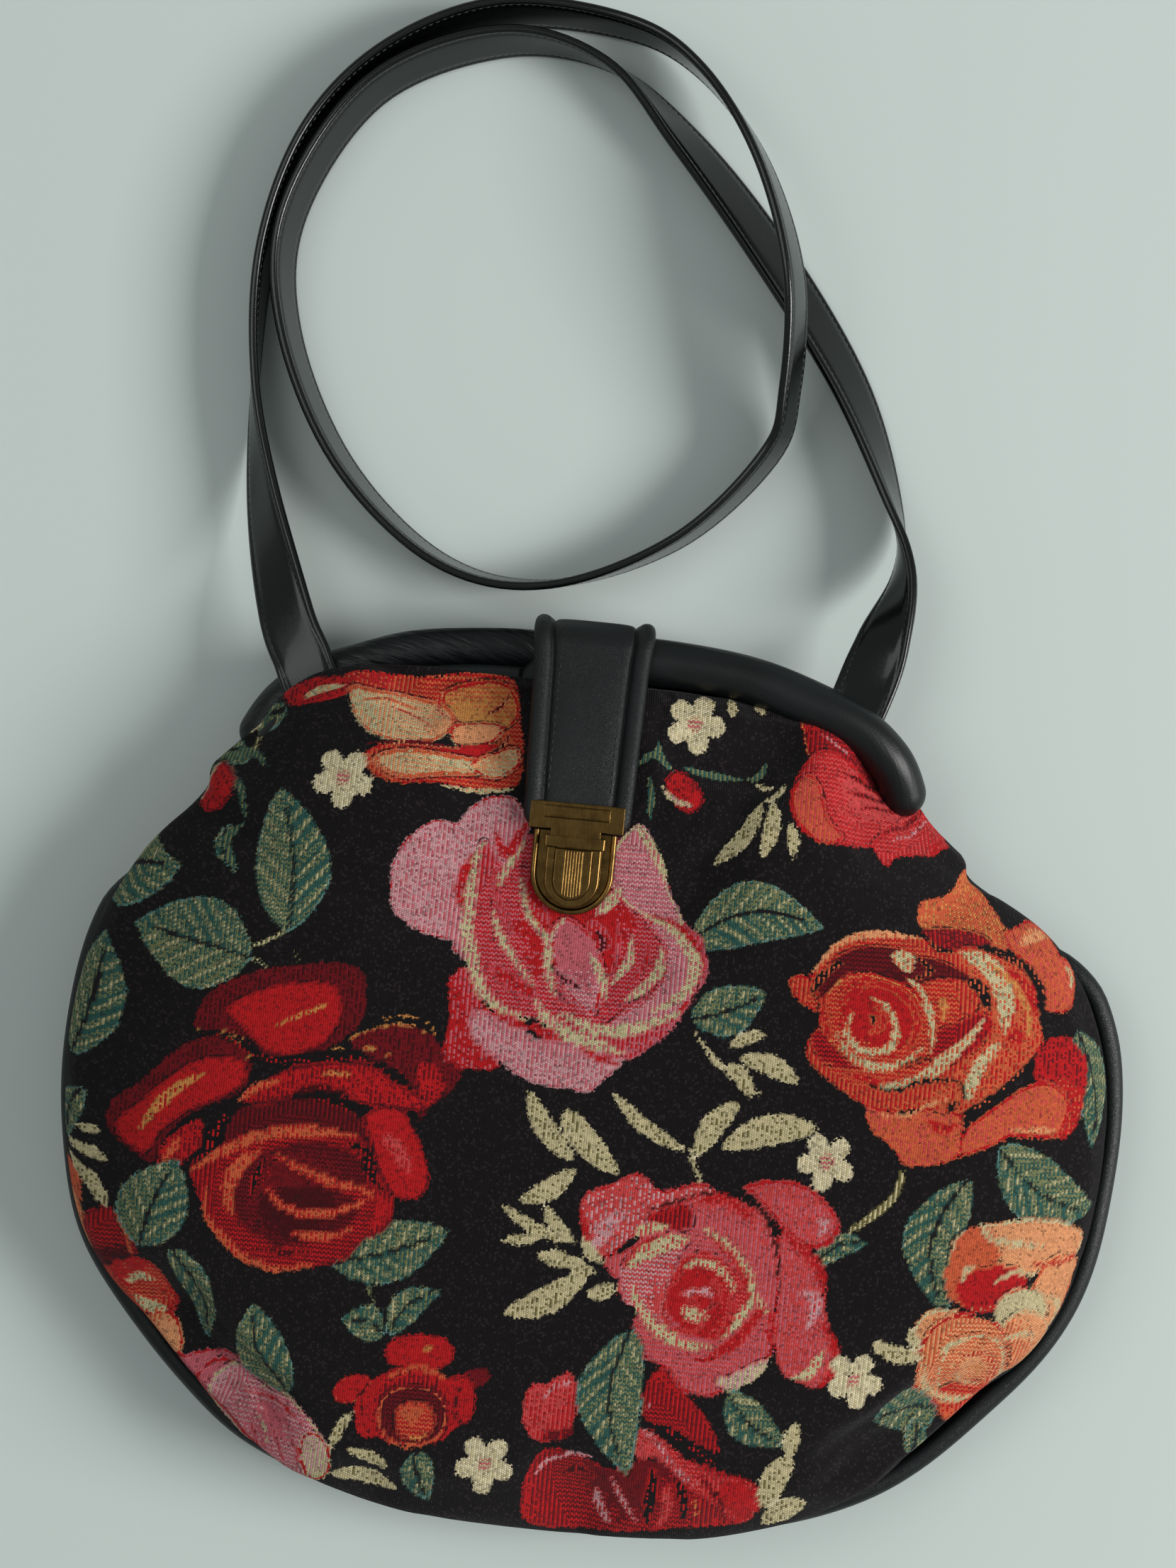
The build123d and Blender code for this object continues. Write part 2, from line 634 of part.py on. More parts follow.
# Spring between the base's floor and the button.
spring_height = skirt_z + spring_pocket_depth - floor_z - 2 * spring_wire - 2 * base_gap
with BuildPart() as button_spring:
    with BuildLine(Plane((tab_x, spring_y, floor_z + spring_wire + base_gap))) as spring_path:
        Helix(pitch=spring_height / spring_turns, height=spring_height, radius=spring_radius)
    with BuildSketch(Plane(origin=spring_path.line @ 0, z_dir=spring_path.line % 0)):
        Circle(spring_wire)
    sweep(path=spring_path.line)
button_spring.part.label = "button_spring"
export_step(button_spring.part, "parts/button_spring.step")

# Shoulder strap: one flat strap that twists on its way round the loop.
strap_stations = smooth_route(strap_route, strap_steps)


def strap_plane(i):
    """Plane across the strap at one of its stations, with the strap's width along its X."""
    here = Vector(*strap_stations[i][:3])
    ahead = Vector(*strap_stations[min(i + 1, len(strap_stations) - 1)][:3])
    behind = Vector(*strap_stations[max(i - 1, 0)][:3])
    along = (ahead - behind).normalized()
    right = Vector(along.Y, -along.X, 0).normalized()
    up = right.cross(along)
    turn = radians(strap_stations[i][3])
    return Plane(origin=here, x_dir=right * cos(turn) + up * sin(turn), z_dir=along)


with BuildPart() as shoulder_strap:
    for i in range(len(strap_stations)):
        with BuildSketch(strap_plane(i)):
            Rectangle(strap_width, strap_thickness)
    loft(ruled=True)
shoulder_strap.part.label = "shoulder_strap"
export_step(shoulder_strap.part, "parts/shoulder_strap.step")
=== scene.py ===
import math

import bmesh
import bpy
import numpy as np
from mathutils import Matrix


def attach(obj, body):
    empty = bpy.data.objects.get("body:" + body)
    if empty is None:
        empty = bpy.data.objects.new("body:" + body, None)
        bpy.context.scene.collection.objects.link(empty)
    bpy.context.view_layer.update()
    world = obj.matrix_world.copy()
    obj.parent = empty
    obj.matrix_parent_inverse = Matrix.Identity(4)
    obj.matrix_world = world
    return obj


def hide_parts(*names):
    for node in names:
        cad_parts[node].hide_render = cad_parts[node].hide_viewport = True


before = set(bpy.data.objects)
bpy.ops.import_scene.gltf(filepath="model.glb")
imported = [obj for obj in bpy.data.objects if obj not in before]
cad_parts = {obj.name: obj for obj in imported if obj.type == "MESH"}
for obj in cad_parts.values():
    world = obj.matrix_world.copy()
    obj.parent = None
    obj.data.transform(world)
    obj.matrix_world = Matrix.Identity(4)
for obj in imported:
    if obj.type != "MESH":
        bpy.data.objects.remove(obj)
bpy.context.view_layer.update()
mm = 0.001
print("frame loaded")

# Camera and light

view = dict(place=(-11.5, 111.9, 1100.0), turn=5.5, seenHigh=553.0)

lens = bpy.data.cameras.new("camera")
lens.sensor_fit = "VERTICAL"
lens.angle = 2 * math.atan(view["seenHigh"] / 2 / view["place"][2])
cameraObject = bpy.data.objects.new("camera", lens)
cameraObject.location = [v * mm for v in view["place"]]
cameraObject.rotation_euler = (0, 0, math.radians(view["turn"]))
bpy.context.scene.collection.objects.link(cameraObject)
bpy.context.scene.camera = cameraObject
bpy.context.scene.view_settings.view_transform = "Standard"

lamps = dict(
    window=dict(place=(2.6, 0.0, 1.75), size=(1.34, 1.34), watts=108.0, colour=(1.0, 0.995, 0.975)),
    fill=dict(place=(-1.0, 0.5, 1.9), size=(1.2, 1.2), watts=9.0, colour=(0.97, 1.0, 1.0)),
)
sky = dict(colour=(0.92, 0.99, 0.98), strength=0.33)
aimedAt = np.array([0.0, 0.12, 0.0])

for name, lamp in lamps.items():
    light = bpy.data.lights.new(name, "AREA")
    light.shape = "RECTANGLE"
    light.size, light.size_y = lamp["size"]
    light.energy = lamp["watts"]
    light.color = lamp["colour"]
    lightObject = bpy.data.objects.new(name, light)
    lightObject.location = lamp["place"]
    aim = aimedAt - np.array(lamp["place"])
    flat = math.hypot(aim[0], aim[1])
    lightObject.rotation_euler = (math.atan2(flat, -aim[2]), 0, math.atan2(aim[1], aim[0]) - math.pi / 2)
    bpy.context.scene.collection.objects.link(lightObject)

world = bpy.data.worlds.new("room")
bpy.context.scene.world = world
world.use_nodes = True
world.node_tree.nodes["Background"].inputs["Color"].default_value = (*sky["colour"], 1)
world.node_tree.nodes["Background"].inputs["Strength"].default_value = sky["strength"]
print("camera and light")

# Shader maths


def linear(colour):
    return tuple((c / 255 / 12.92) if c <= 10 else ((c / 255 + 0.055) / 1.055) ** 2.4 for c in colour)


class Wire:  # an output that adds, scales and compares like a number
    def __init__(self, finish, socket):
        self.finish = finish
        self.socket = socket

    def calc(self, operation, *values):
        return self.finish.add("ShaderNodeMath", dict(operation=operation), *values)

    def __add__(self, other):
        return self.calc("ADD", self, other)

    def __radd__(self, other):
        return self.calc("ADD", other, self)

    def __sub__(self, other):
        return self.calc("SUBTRACT", self, other)

    def __rsub__(self, other):
        return self.calc("SUBTRACT", other, self)

    def __mul__(self, other):
        return self.calc("MULTIPLY", self, other)

    def __rmul__(self, other):
        return self.calc("MULTIPLY", other, self)

    def __truediv__(self, other):
        return self.calc("DIVIDE", self, other)

    def __gt__(self, other):
        return self.calc("GREATER_THAN", self, other)

    def __lt__(self, other):
        return self.calc("LESS_THAN", self, other)

    def floor(self):
        return self.calc("FLOOR", self)

    def part(self):
        return self.calc("FRACT", self)

    def sine(self):
        return self.calc("SINE", self)

    def size(self):
        return self.calc("ABSOLUTE", self)

    def smooth(self, low, high):
        return self.finish.add("ShaderNodeMapRange", dict(interpolation_type="SMOOTHSTEP"), self, low, high, 0.0, 1.0)


class Finish:  # a material with its nodes
    def __init__(self, name, **fixed):
        self.material = bpy.data.materials.new(name)
        self.material.use_nodes = True
        self.tree = self.material.node_tree
        self.shader = self.tree.nodes["Principled BSDF"]
        for socket, value in fixed.items():
            self.shader.inputs[socket.replace("_", " ")].default_value = value

    def add(self, kind, settings=None, *values, out=0, **named):
        node = self.tree.nodes.new(kind)
        for key, value in (settings or {}).items():
            setattr(node, key, value)
        for index, value in list(enumerate(values)) + [(k.replace("_", " "), v) for k, v in named.items()]:
            if isinstance(value, Wire):
                self.tree.links.new(value.socket, node.inputs[index])
            else:
                node.inputs[index].default_value = value
        return Wire(self, node.outputs[out])

    def feed(self, socket, value):
        self.tree.links.new(value.socket, self.shader.inputs[socket])

    def blend(self, amount, first, second):
        mix = self.tree.nodes.new("ShaderNodeMix")
        mix.data_type = "RGBA"
        for socket, value in zip((mix.inputs[0], mix.inputs[6], mix.inputs[7]), (amount, first, second)):
            if isinstance(value, Wire):
                self.tree.links.new(value.socket, socket)
            else:
                socket.default_value = (*value, 1) if isinstance(value, tuple) else value
        return Wire(self, mix.outputs[2])

    def shade(self, colour, amount):
        mix = self.blend(1.0, colour, (1.0, 1.0, 1.0))
        mix.socket.node.blend_type = "MULTIPLY"
        self.tree.links.new(self.add("ShaderNodeCombineColor", None, amount, amount, amount).socket,
                            mix.socket.node.inputs[7])
        return mix

    def stored(self, name, out=2):
        return self.add("ShaderNodeAttribute", dict(attribute_name=name), out=out)

    def split(self, vector):
        apart = self.add("ShaderNodeSeparateXYZ", None, vector).socket.node
        return [Wire(self, socket) for socket in apart.outputs]

    def noise(self, vector, scale, detail=2.0, roughness=0.5):
        return self.add("ShaderNodeTexNoise", None, Vector=vector, Scale=scale, Detail=detail, Roughness=roughness)

    def bump(self, height, depth, strength=1.0, over=None):
        links = dict(Height=height, Distance=depth, Strength=strength)
        if over is not None:
            links["Normal"] = over
        return self.add("ShaderNodeBump", None, **links)


leather = dict(creases=0.18, patches=22.0, patchWear=0.16, creaseWear=0.1, poreHeight=0.5, creaseHeight=0.8)
wrinkles = dict(across=420.0, down=55.0, grain=2600.0, grainDepth=0.00006, patches=18.0, wear=0.2)
metal = dict(brushed=9000.0, along=260.0, tarnish=260.0, spots=1500.0, relief=0.00002, edge=0.00025)


def leatherFinish(name, colour, worn, roughness, grain, coat=0.0):
    finish = Finish(name, Coat_Roughness=0.08, Specular_IOR_Level=0.28, Coat_Weight=coat)
    place = finish.add("ShaderNodeTexCoord", out=3)
    pores = finish.add("ShaderNodeTexVoronoi", dict(feature="DISTANCE_TO_EDGE"), Vector=place, Scale=grain["scale"])
    creases = finish.noise(place, grain["scale"] * leather["creases"], 4.0, 0.6)
    patches = finish.noise(place, leather["patches"], 3.0, 0.55)
    finish.feed("Base Color", finish.blend(patches.smooth(0.35, 0.75), linear(colour), linear(worn)))
    wear = (patches - 0.5) * leather["patchWear"]
    finish.feed("Roughness", roughness + wear + (creases - 0.5) * leather["creaseWear"])
    height = pores.smooth(0.0, 0.35) * leather["poreHeight"] + creases * leather["creaseHeight"]
    finish.feed("Normal", finish.bump(height, grain["depth"]))
    return finish


def wrinkledFinish(name, colour, worn, roughness, slant, depth):
    finish = Finish(name, Specular_IOR_Level=0.3)
    along, around, _ = finish.split(finish.add("ShaderNodeTexCoord", out=2))
    across = along * math.cos(slant) + around * math.sin(slant)
    down = around * math.cos(slant) - along * math.sin(slant)
    warped = finish.add("ShaderNodeCombineXYZ", None, across * wrinkles["across"], down * wrinkles["down"], 0.0)
    folds = finish.noise(warped, 1.0, 3.0, 0.55)
    place = finish.add("ShaderNodeTexCoord", out=3)
    grain = finish.noise(place, wrinkles["grain"], 2.0, 0.5)
    patches = finish.noise(place, wrinkles["patches"], 3.0, 0.5)
    finish.feed("Base Color", finish.blend(patches.smooth(0.3, 0.8), linear(colour), linear(worn)))
    finish.feed("Roughness", roughness + (patches - 0.5) * wrinkles["wear"])
    finish.feed("Normal", finish.bump(grain, wrinkles["grainDepth"], 1.0, finish.bump(folds, depth)))
    return finish


def metalFinish(name, dark, light, roughness, brush):
    finish = Finish(name, Metallic=1.0)
    place = finish.add("ShaderNodeTexCoord", out=3)
    x, y, z = finish.split(place)
    stretched = (x * metal["brushed"], y * metal["along"], z * metal["along"])
    lines = finish.noise(finish.add("ShaderNodeCombineXYZ", None, *stretched), 1.0, 2.0)
    tarnish = finish.noise(place, metal["tarnish"], 4.0, 0.6)
    spots = finish.noise(place, metal["spots"], 2.0, 0.6)
    tone = (tarnish * 0.6 + lines * 0.45).smooth(0.2, 0.86)
    finish.feed("Base Color", finish.blend(tone, linear(dark), linear(light)))
    finish.feed("Roughness", roughness + (1 - tone) * 0.12 + (lines - 0.5) * 0.14)
    edges = finish.add("ShaderNodeBevel", dict(samples=4), metal["edge"])
    finish.feed("Normal", finish.bump(lines * brush + spots * 0.3, metal["relief"], 1.0, edges))
    return finish


# Meshes


def buildMesh(name, points, faces, finish, replaced=(), body="bag", uv=None, smooth=True):
    mesh = bpy.data.meshes.new(name)
    mesh.from_pydata([tuple(p) for p in np.asarray(points, float)], [], faces)
    mesh.polygons.foreach_set("use_smooth", [smooth] * len(mesh.polygons))
    if uv is not None:
        layer = mesh.uv_layers.new(name="flat")
        layer.data.foreach_set("uv", np.asarray(uv, np.float32)[cornersOf(mesh)].ravel())
    mesh.update()
    piece = bpy.data.objects.new(name, mesh)
    bpy.context.scene.collection.objects.link(piece)
    piece.data.materials.append(finish.material)
    if body:
        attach(piece, body)
    if replaced:
        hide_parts(*replaced)
    return piece


def roundRoute(points, steps):  # the curve that the solids' routes follow
    points = np.asarray(points, float)
    last = len(points) - 1
    curve = []
    for i in range(last):
        a, b, c, d = points[max(i - 1, 0)], points[i], points[i + 1], points[min(i + 2, last)]
        for step in range(steps):
            t = step / steps
            curve.append(0.5 * (2 * b + (c - a) * t + (2 * a - 5 * b + 4 * c - d) * t**2
                                + (3 * b - a - 3 * c + d) * t**3))
    curve.append(points[last])
    return np.array(curve)


def headings(route):
    run = np.gradient(route, axis=0)
    return run / np.linalg.norm(run, axis=1, keepdims=True)


def travelled(route):
    return np.concatenate([[0], np.cumsum(np.linalg.norm(np.diff(route, axis=0), axis=1))])


def sweepMesh(route, sideways, upwards, sections, name, finish, replaced=()):
    count, around = len(route), sections.shape[1]
    points = route[:, None, :] + sections[:, :, :1] * sideways[:, None, :] + sections[:, :, 1:] * upwards[:, None, :]
    faces = []
    for i in range(count - 1):
        for j in range(around):
            k = (j + 1) % around
            faces.append((i * around + j, i * around + k, (i + 1) * around + k, (i + 1) * around + j))
    faces.append(tuple(range(around - 1, -1, -1)))
    faces.append(tuple((count - 1) * around + j for j in range(around)))
    rim = np.linalg.norm(np.diff(np.concatenate([sections, sections[:, :1]], axis=1), axis=1), axis=2)
    across = np.concatenate([np.zeros((count, 1)), np.cumsum(rim, axis=1)[:, :-1]], axis=1)
    uv = np.stack([np.repeat(travelled(route)[:, None], around, 1), across], axis=2).reshape(-1, 2)
    piece = buildMesh(name, points.reshape(-1, 3) * mm, faces, finish, replaced, uv=uv * mm)
    loose = bmesh.new()
    loose.from_mesh(piece.data)
    bmesh.ops.recalc_face_normals(loose, faces=loose.faces)
    loose.to_mesh(piece.data)
    loose.free()
    return piece


def tubeMesh(route, radius, name, finish, replaced=(), sides=28, swell=None):
    ahead = headings(route)
    sideways = np.cross(ahead, (0, 0, 1.0))
    sideways /= np.linalg.norm(sideways, axis=1, keepdims=True)
    upwards = np.cross(sideways, ahead)
    turn = np.linspace(0, 2 * math.pi, sides, endpoint=False)
    radii = np.full((len(route), sides), float(radius))
    if swell is not None:
        radii = radii + swell(travelled(route)[:, None], turn[None, :])
    sections = np.stack([radii * np.cos(turn), radii * np.sin(turn)], axis=2)
    return sweepMesh(route, sideways, upwards, sections, name, finish, replaced)


def ripples(along, turn, length, depth, seed):  # small uneven swelling of padded leather
    total = np.zeros(np.broadcast(along, turn).shape)
    chance = np.random.default_rng(seed)
    count = 7
    for _ in range(count):
        waves, ways, phase = chance.uniform(0.6, 1.7), chance.integers(-2, 3), chance.uniform(0, 6.3)
        total = total + np.sin(2 * math.pi * along * waves / length + ways * turn + phase)
    return depth * total / count


def roundedEnds(radius, depth, seed, length, taper=None):
    def swell(along, turn):
        fromEnd = np.minimum(along, along.max() - along) / (taper or radius)
        closing = radius * (1 - np.sqrt(np.clip(1 - (1 - fromEnd).clip(0, 1) ** 2, 0, 1)))
        return ripples(along, turn, length, depth, seed) - closing * 0.98
    return swell


# Leather, metal and thread

trimLeather = leatherFinish("trimLeather", (10, 12, 13), (19, 22, 24), 0.40, dict(scale=2400.0, depth=0.00008))
tabLeather = leatherFinish("tabLeather", (8, 10, 11), (17, 19, 21), 0.44, dict(scale=2600.0, depth=0.0001))
strapLeather = leatherFinish("strapLeather", (4, 5, 5), (9, 10, 11), 0.22, dict(scale=1500.0, depth=0.00003), 0.22)
rimLeather = wrinkledFinish("rimLeather", (9, 11, 12), (18, 21, 23), 0.36, math.radians(62), 0.0009)
smoothRimLeather = wrinkledFinish("smoothRimLeather", (10, 12, 13), (20, 23, 25), 0.4, math.radians(80), 0.0002)
antiqueBrass = metalFinish("antiqueBrass", (62, 46, 24), (132, 102, 56), 0.22, 0.5)
springSteel = metalFinish("springSteel", (120, 120, 118), (190, 190, 188), 0.3, 0.4)
threadFinish = Finish("thread", Base_Color=(*linear((48, 52, 52)), 1), Roughness=0.7)
paddingFinish = Finish("padding", Base_Color=(*linear((205, 200, 188)), 1), Roughness=0.95)
print("finishes")

# Outline of the bag and its two panels

shell = dict(
    halfWidth=183.0, footReach=144.0, mouthReach=173.0, mouthLean=15.0, leanStart=60.0, leanEnd=115.0,
    centre=(0.0, 39.0), backSlopeStart=82.0, backSlope=15.5, cells=74, refine=2,
)
outlineShape = [
    (0.0, -1.0), (0.33, -0.978), (0.6, -0.865), (0.81, -0.63), (0.95, -0.375), (1.0, -0.035),
    (0.982, 0.23), (0.89, 0.43), (0.745, 0.565), (0.655, 0.69), (0.475, 0.87), (0.245, 0.975), (0.0, 1.0),
]
frontEdge = [(121, 98.6), (109, 108.3), (101, 117), (93.2, 124.8), (82.4, 137), (72, 143.4), (56, 145), (9, 146),
             (-36, 146), (-75, 146.5), (-101, 142.5), (-117, 133.5), (-128.6, 117), (-140, 104)]
edgeHeights = [(0.0, 24.0), (0.12, 29.0), (0.3, 38.0), (0.42, 43.0), (0.58, 44.5), (0.72, 42.0), (0.86, 32.0),
               (1.0, 24.0)]
loosePart = dict(start=0.35, left=0.75, low=0.85, depth=14, wide=12)  # the lower left side stands out a little


def leanAt(y):
    share = np.clip((y - shell["leanStart"]) / (shell["leanEnd"] - shell["leanStart"]), 0, 1)
    return -shell["mouthLean"] * share**2 * (3 - 2 * share)


def bagOutline():
    right = np.array([(x * shell["halfWidth"], y * (shell["footReach"] if y < 0 else shell["mouthReach"]))
                      for x, y in outlineShape])
    whole = np.concatenate([right, (right * (-1, 1))[-2:0:-1]])
    whole[:, 0] += leanAt(whole[:, 1])
    steps = 24
    around = roundRoute(np.concatenate([whole[-1:], whole, whole[:2]]), steps)
    return around[steps:-steps]


outline = bagOutline()


def insetOutline(inset):
    scale = 1 - inset / shell["halfWidth"]
    shift = inset - shell["footReach"] * inset / shell["halfWidth"]
    return np.stack([outline[:, 0] * scale, outline[:, 1] * scale + shift], axis=1)


def edgeCurve(inset, mouth, heights, seam):
    ring = np.concatenate([insetOutline(inset), np.full((len(outline), 1), seam)], axis=1)
    first, last = np.array(mouth[0]), np.array(mouth[-1])
    start = np.argmin(np.linalg.norm(ring[:, :2] - first, axis=1))
    stop = np.argmin(np.linalg.norm(ring[:, :2] - last, axis=1))
    line = roundRoute(mouth, 8)
    share = travelled(line) / travelled(line)[-1]
    rise = np.interp(share, *zip(*heights))
    lip = np.concatenate([line, rise[:, None]], axis=1)
    curve = np.concatenate([ring[:start], lip, ring[stop + 1:-1]])
    growing = np.minimum(1, np.minimum(share, 1 - share) * 5)
    weight = np.concatenate([np.zeros(start), growing, np.zeros(len(ring) - stop - 2)])
    return curve, weight


def squareGrid(cells):
    line = np.linspace(-1, 1, cells + 1)
    u, v = np.meshgrid(line, line, indexing="xy")
    disc = np.stack([u * np.sqrt(1 - v**2 / 2), v * np.sqrt(1 - u**2 / 2)], axis=2).reshape(-1, 2)
    index = np.arange((cells + 1) ** 2).reshape(cells + 1, cells + 1)
    faces = [(index[i, j], index[i, j + 1], index[i + 1, j + 1], index[i + 1, j])
             for i in range(cells) for j in range(cells)]
    rim = list(index[0, :]) + list(index[1:, -1]) + list(index[-1, -2::-1]) + list(index[-2:0:-1, 0])
    return disc, [tuple(int(k) for k in face) for face in faces], [int(k) for k in rim]


def panelSurface(edge, weight, insets, heights, sags, mouthInsets, mouthRises, cells, top, bulge=0.0):
    disc, faces, rim = squareGrid(cells)
    centre = np.array(shell["centre"])
    reach = np.linalg.norm(disc, axis=1)
    angle = np.arctan2(disc[:, 1], disc[:, 0])
    rays = edge[:, :2] - centre
    rayAngle = np.unwrap(np.arctan2(rays[:, 1], rays[:, 0]))
    order = np.argsort(np.mod(rayAngle, 2 * math.pi))
    sortedAngle = np.mod(rayAngle, 2 * math.pi)[order]
    table = np.concatenate([edge, weight[:, None]], axis=1)[order]
    angle = np.mod(angle, 2 * math.pi)
    ends = np.stack([np.interp(angle, sortedAngle, table[:, k], period=2 * math.pi) for k in range(4)], axis=1)
    ray = ends[:, :2] - centre
    far = np.linalg.norm(ray, axis=1)
    ray /= far[:, None]
    pull = ends[:, 3:4]
    insets, heights, sags = (np.array(row, float) for row in (insets, heights, sags))
    lowIn = insets[None, :] * (far / insets[-1])[:, None]
    lowIn[:, 1:4] = insets[None, 1:4]
    highIn = np.array(mouthInsets, float)[None, :] * (far / mouthInsets[-1])[:, None]
    highZ = ends[:, 2:3] + (top - ends[:, 2:3]) * np.array(mouthRises)[None, :]
    inAt = lowIn * (1 - pull) + highIn * pull
    zAt = heights[None, :] * (1 - pull) + highZ * pull
    zAt[:, :1] = ends[:, 2:3]
    sagAt = sags[None, :] * (1 - pull)
    length = np.cumsum(np.hypot(np.diff(inAt, axis=1), np.diff(zAt, axis=1)), axis=1)
    length = np.concatenate([np.zeros((len(far), 1)), length], axis=1)
    goal = (1 - reach) * length[:, -1]
    depth, z, sag = np.zeros(len(far)), np.zeros(len(far)), np.zeros(len(far))
    for k in range(inAt.shape[1] - 1):
        share = np.clip((goal - length[:, k]) / (length[:, k + 1] - length[:, k]), 0, 1)
        here = (goal >= length[:, k] - 1e-9)
        for target, source in ((depth, inAt), (z, zAt), (sag, sagAt)):
            target[here] = (source[:, k] + (source[:, k + 1] - source[:, k]) * share)[here]
    lowLeft = loosePart["start"] - ray[:, 0] * loosePart["left"] - ray[:, 1] * loosePart["low"]
    lowLeft = np.clip(lowLeft, 0, 1) * (1 - pull[:, 0])
    stand = bulge * lowLeft * np.exp(-((goal - loosePart["depth"]) / loosePart["wide"]) ** 2)
    plan = centre + ray * (far - depth + stand)[:, None]
    plan[:, 1] -= sag
    steep = length[:, 2]
    over = np.clip(steep - goal, 0, None) * (1 - pull[:, 0])
    flatReach = np.where(goal < steep, far - inAt[:, 2] + over, far - depth)
    flat = centre + ray * np.where(pull[:, 0] > 0.5, far - depth, flatReach)[:, None]
    flat[:, 1] -= np.where(goal < steep, sagAt[:, 2] * (1 - pull[:, 0]), sag)
    return np.concatenate([plan, z[:, None]], axis=1), flat, faces, rim


# The woven print, laid out on a sketch sheet whose steps are about a quarter of a millimetre

sheet = dict(eye=(-11.5, 110.6, 1100.0), turn=5.5, middle=(750.0, 1000.0), step=0.2764)
inks = dict(
    black=(22, 18, 20), red=(186, 26, 30), deep=(112, 18, 26), wine=(74, 14, 20), orange=(204, 92, 58),
    gold=(206, 138, 74), cream=(198, 184, 142), pale=(206, 150, 154), pink=(196, 96, 106), coral=(204, 70, 70),
    peach=(222, 150, 104), teal=(48, 88, 80), sea=(96, 134, 128), moss=(118, 122, 84), olive=(112, 104, 62),
    ivory=(222, 208, 172),
)
inks = {name: np.array(linear(colour)) for name, colour in inks.items()}


def toSheet(points):
    height = sheet["eye"][2]
    spread = sheet["step"] * (height - points[:, 2]) / height
    dx, dy = points[:, 0] - sheet["eye"][0], points[:, 1] - sheet["eye"][1]
    c, s = math.cos(math.radians(sheet["turn"])), math.sin(math.radians(sheet["turn"]))
    return np.stack([sheet["middle"][0] + (dx * c + dy * s) / spread,
                     sheet["middle"][1] - (dy * c - dx * s) / spread], axis=1)


def ellipseShape(x, y, across, along, tilt=0, corners=26, fullness=0.85):
    turn = np.linspace(0, 2 * math.pi, corners, endpoint=False)
    c, s = math.cos(math.radians(tilt)), math.sin(math.radians(tilt))
    a = across * np.sign(np.cos(turn)) * np.abs(np.cos(turn)) ** fullness
    b = along * np.sign(np.sin(turn)) * np.abs(np.sin(turn)) ** fullness
    return np.stack([x + a * c - b * s, y + a * s + b * c], axis=1)


def closedShape(points, steps=4):
    return roundRoute(points[-1:] + points + points[:2], steps)[steps:-steps]


def strokeShape(points, width, blunt=0.25):
    route = roundRoute(points, 5)
    ahead = headings(route)
    share = travelled(route) / travelled(route)[-1]
    half = width / 2 * np.maximum(np.sin(math.pi * share) ** 0.6, blunt * (share > 0.02) * (share < 0.98))
    normal = np.stack([-ahead[:, 1], ahead[:, 0]], axis=1)
    return np.concatenate([route + normal * half[:, None], (route - normal * half[:, None])[::-1]])


bare = dict(cover=-9.0, inside=99.0, below=99.0)  # where nothing is drawn
nearby = dict(margin=14, shadow=12)


class Weave:  # what is woven at each point of a panel
    def __init__(self, where):
        count = len(where)
        self.where = where
        self.first, self.second, self.rim = [np.tile(inks["black"], (count, 1)) for _ in range(3)]
        self.share, self.rimWide = np.zeros(count), np.zeros(count)
        self.cover, self.inside, self.below = [np.full(count, bare[name]) for name in ("cover", "inside", "below")]

    def lay(self, shape, first, second=None, share=0.0, rim=None, rimWide=0.0, shadow=True):
        low, high = shape.min(0) - nearby["margin"], shape.max(0) + nearby["margin"]
        near = np.flatnonzero(np.all((self.where > low) & (self.where < high), axis=1))
        if not len(near):
            return near
        spots = self.where[near]
        ahead = np.roll(shape, -1, axis=0)
        distance = np.full(len(near), 1e9)
        crossed = np.zeros(len(near), bool)
        for a, b in zip(shape, ahead):
            run = b - a
            t = np.clip(((spots - a) @ run) / max(run @ run, 1e-9), 0, 1)
            distance = np.minimum(distance, np.hypot(*(spots - a - t[:, None] * run).T))
            if a[1] != b[1]:
                upper = (a[1] > spots[:, 1]) != (b[1] > spots[:, 1])
                crossed ^= upper & (spots[:, 0] < (b[0] - a[0]) * (spots[:, 1] - a[1]) / (b[1] - a[1]) + a[0])
        depth = np.where(crossed, distance, -distance)
        self.cover[near] = np.maximum(self.cover[near], depth)
        hit = near[crossed]
        self.first[hit] = inks[first]
        self.second[hit] = inks[second or first]
        amount = share(self.where[hit]) if callable(share) else share
        self.share[hit] = np.clip(amount, 0, 1)
        self.inside[hit] = depth[crossed]
        self.rim[hit] = inks[rim or first]
        self.rimWide[hit] = rimWide
        self.below[hit] = bare["below"]
        if shadow:
            close = ~crossed & (distance < nearby["shadow"])
            beside = near[close]
            self.below[beside] = np.minimum(self.below[beside], distance[close])
        return hit


thread = dict(petal=0.26, oval=0.1, stroke=0.25)  # how much of a second thread runs through each


def petalShade(centre, reach, base):  # more of the second thread towards the rose's heart
    def share(spots):
        away = np.hypot(spots[:, 0] - centre[0], spots[:, 1] - centre[1])
        return base + 0.85 * np.clip(1.15 - away / reach, 0, 1)
    return share


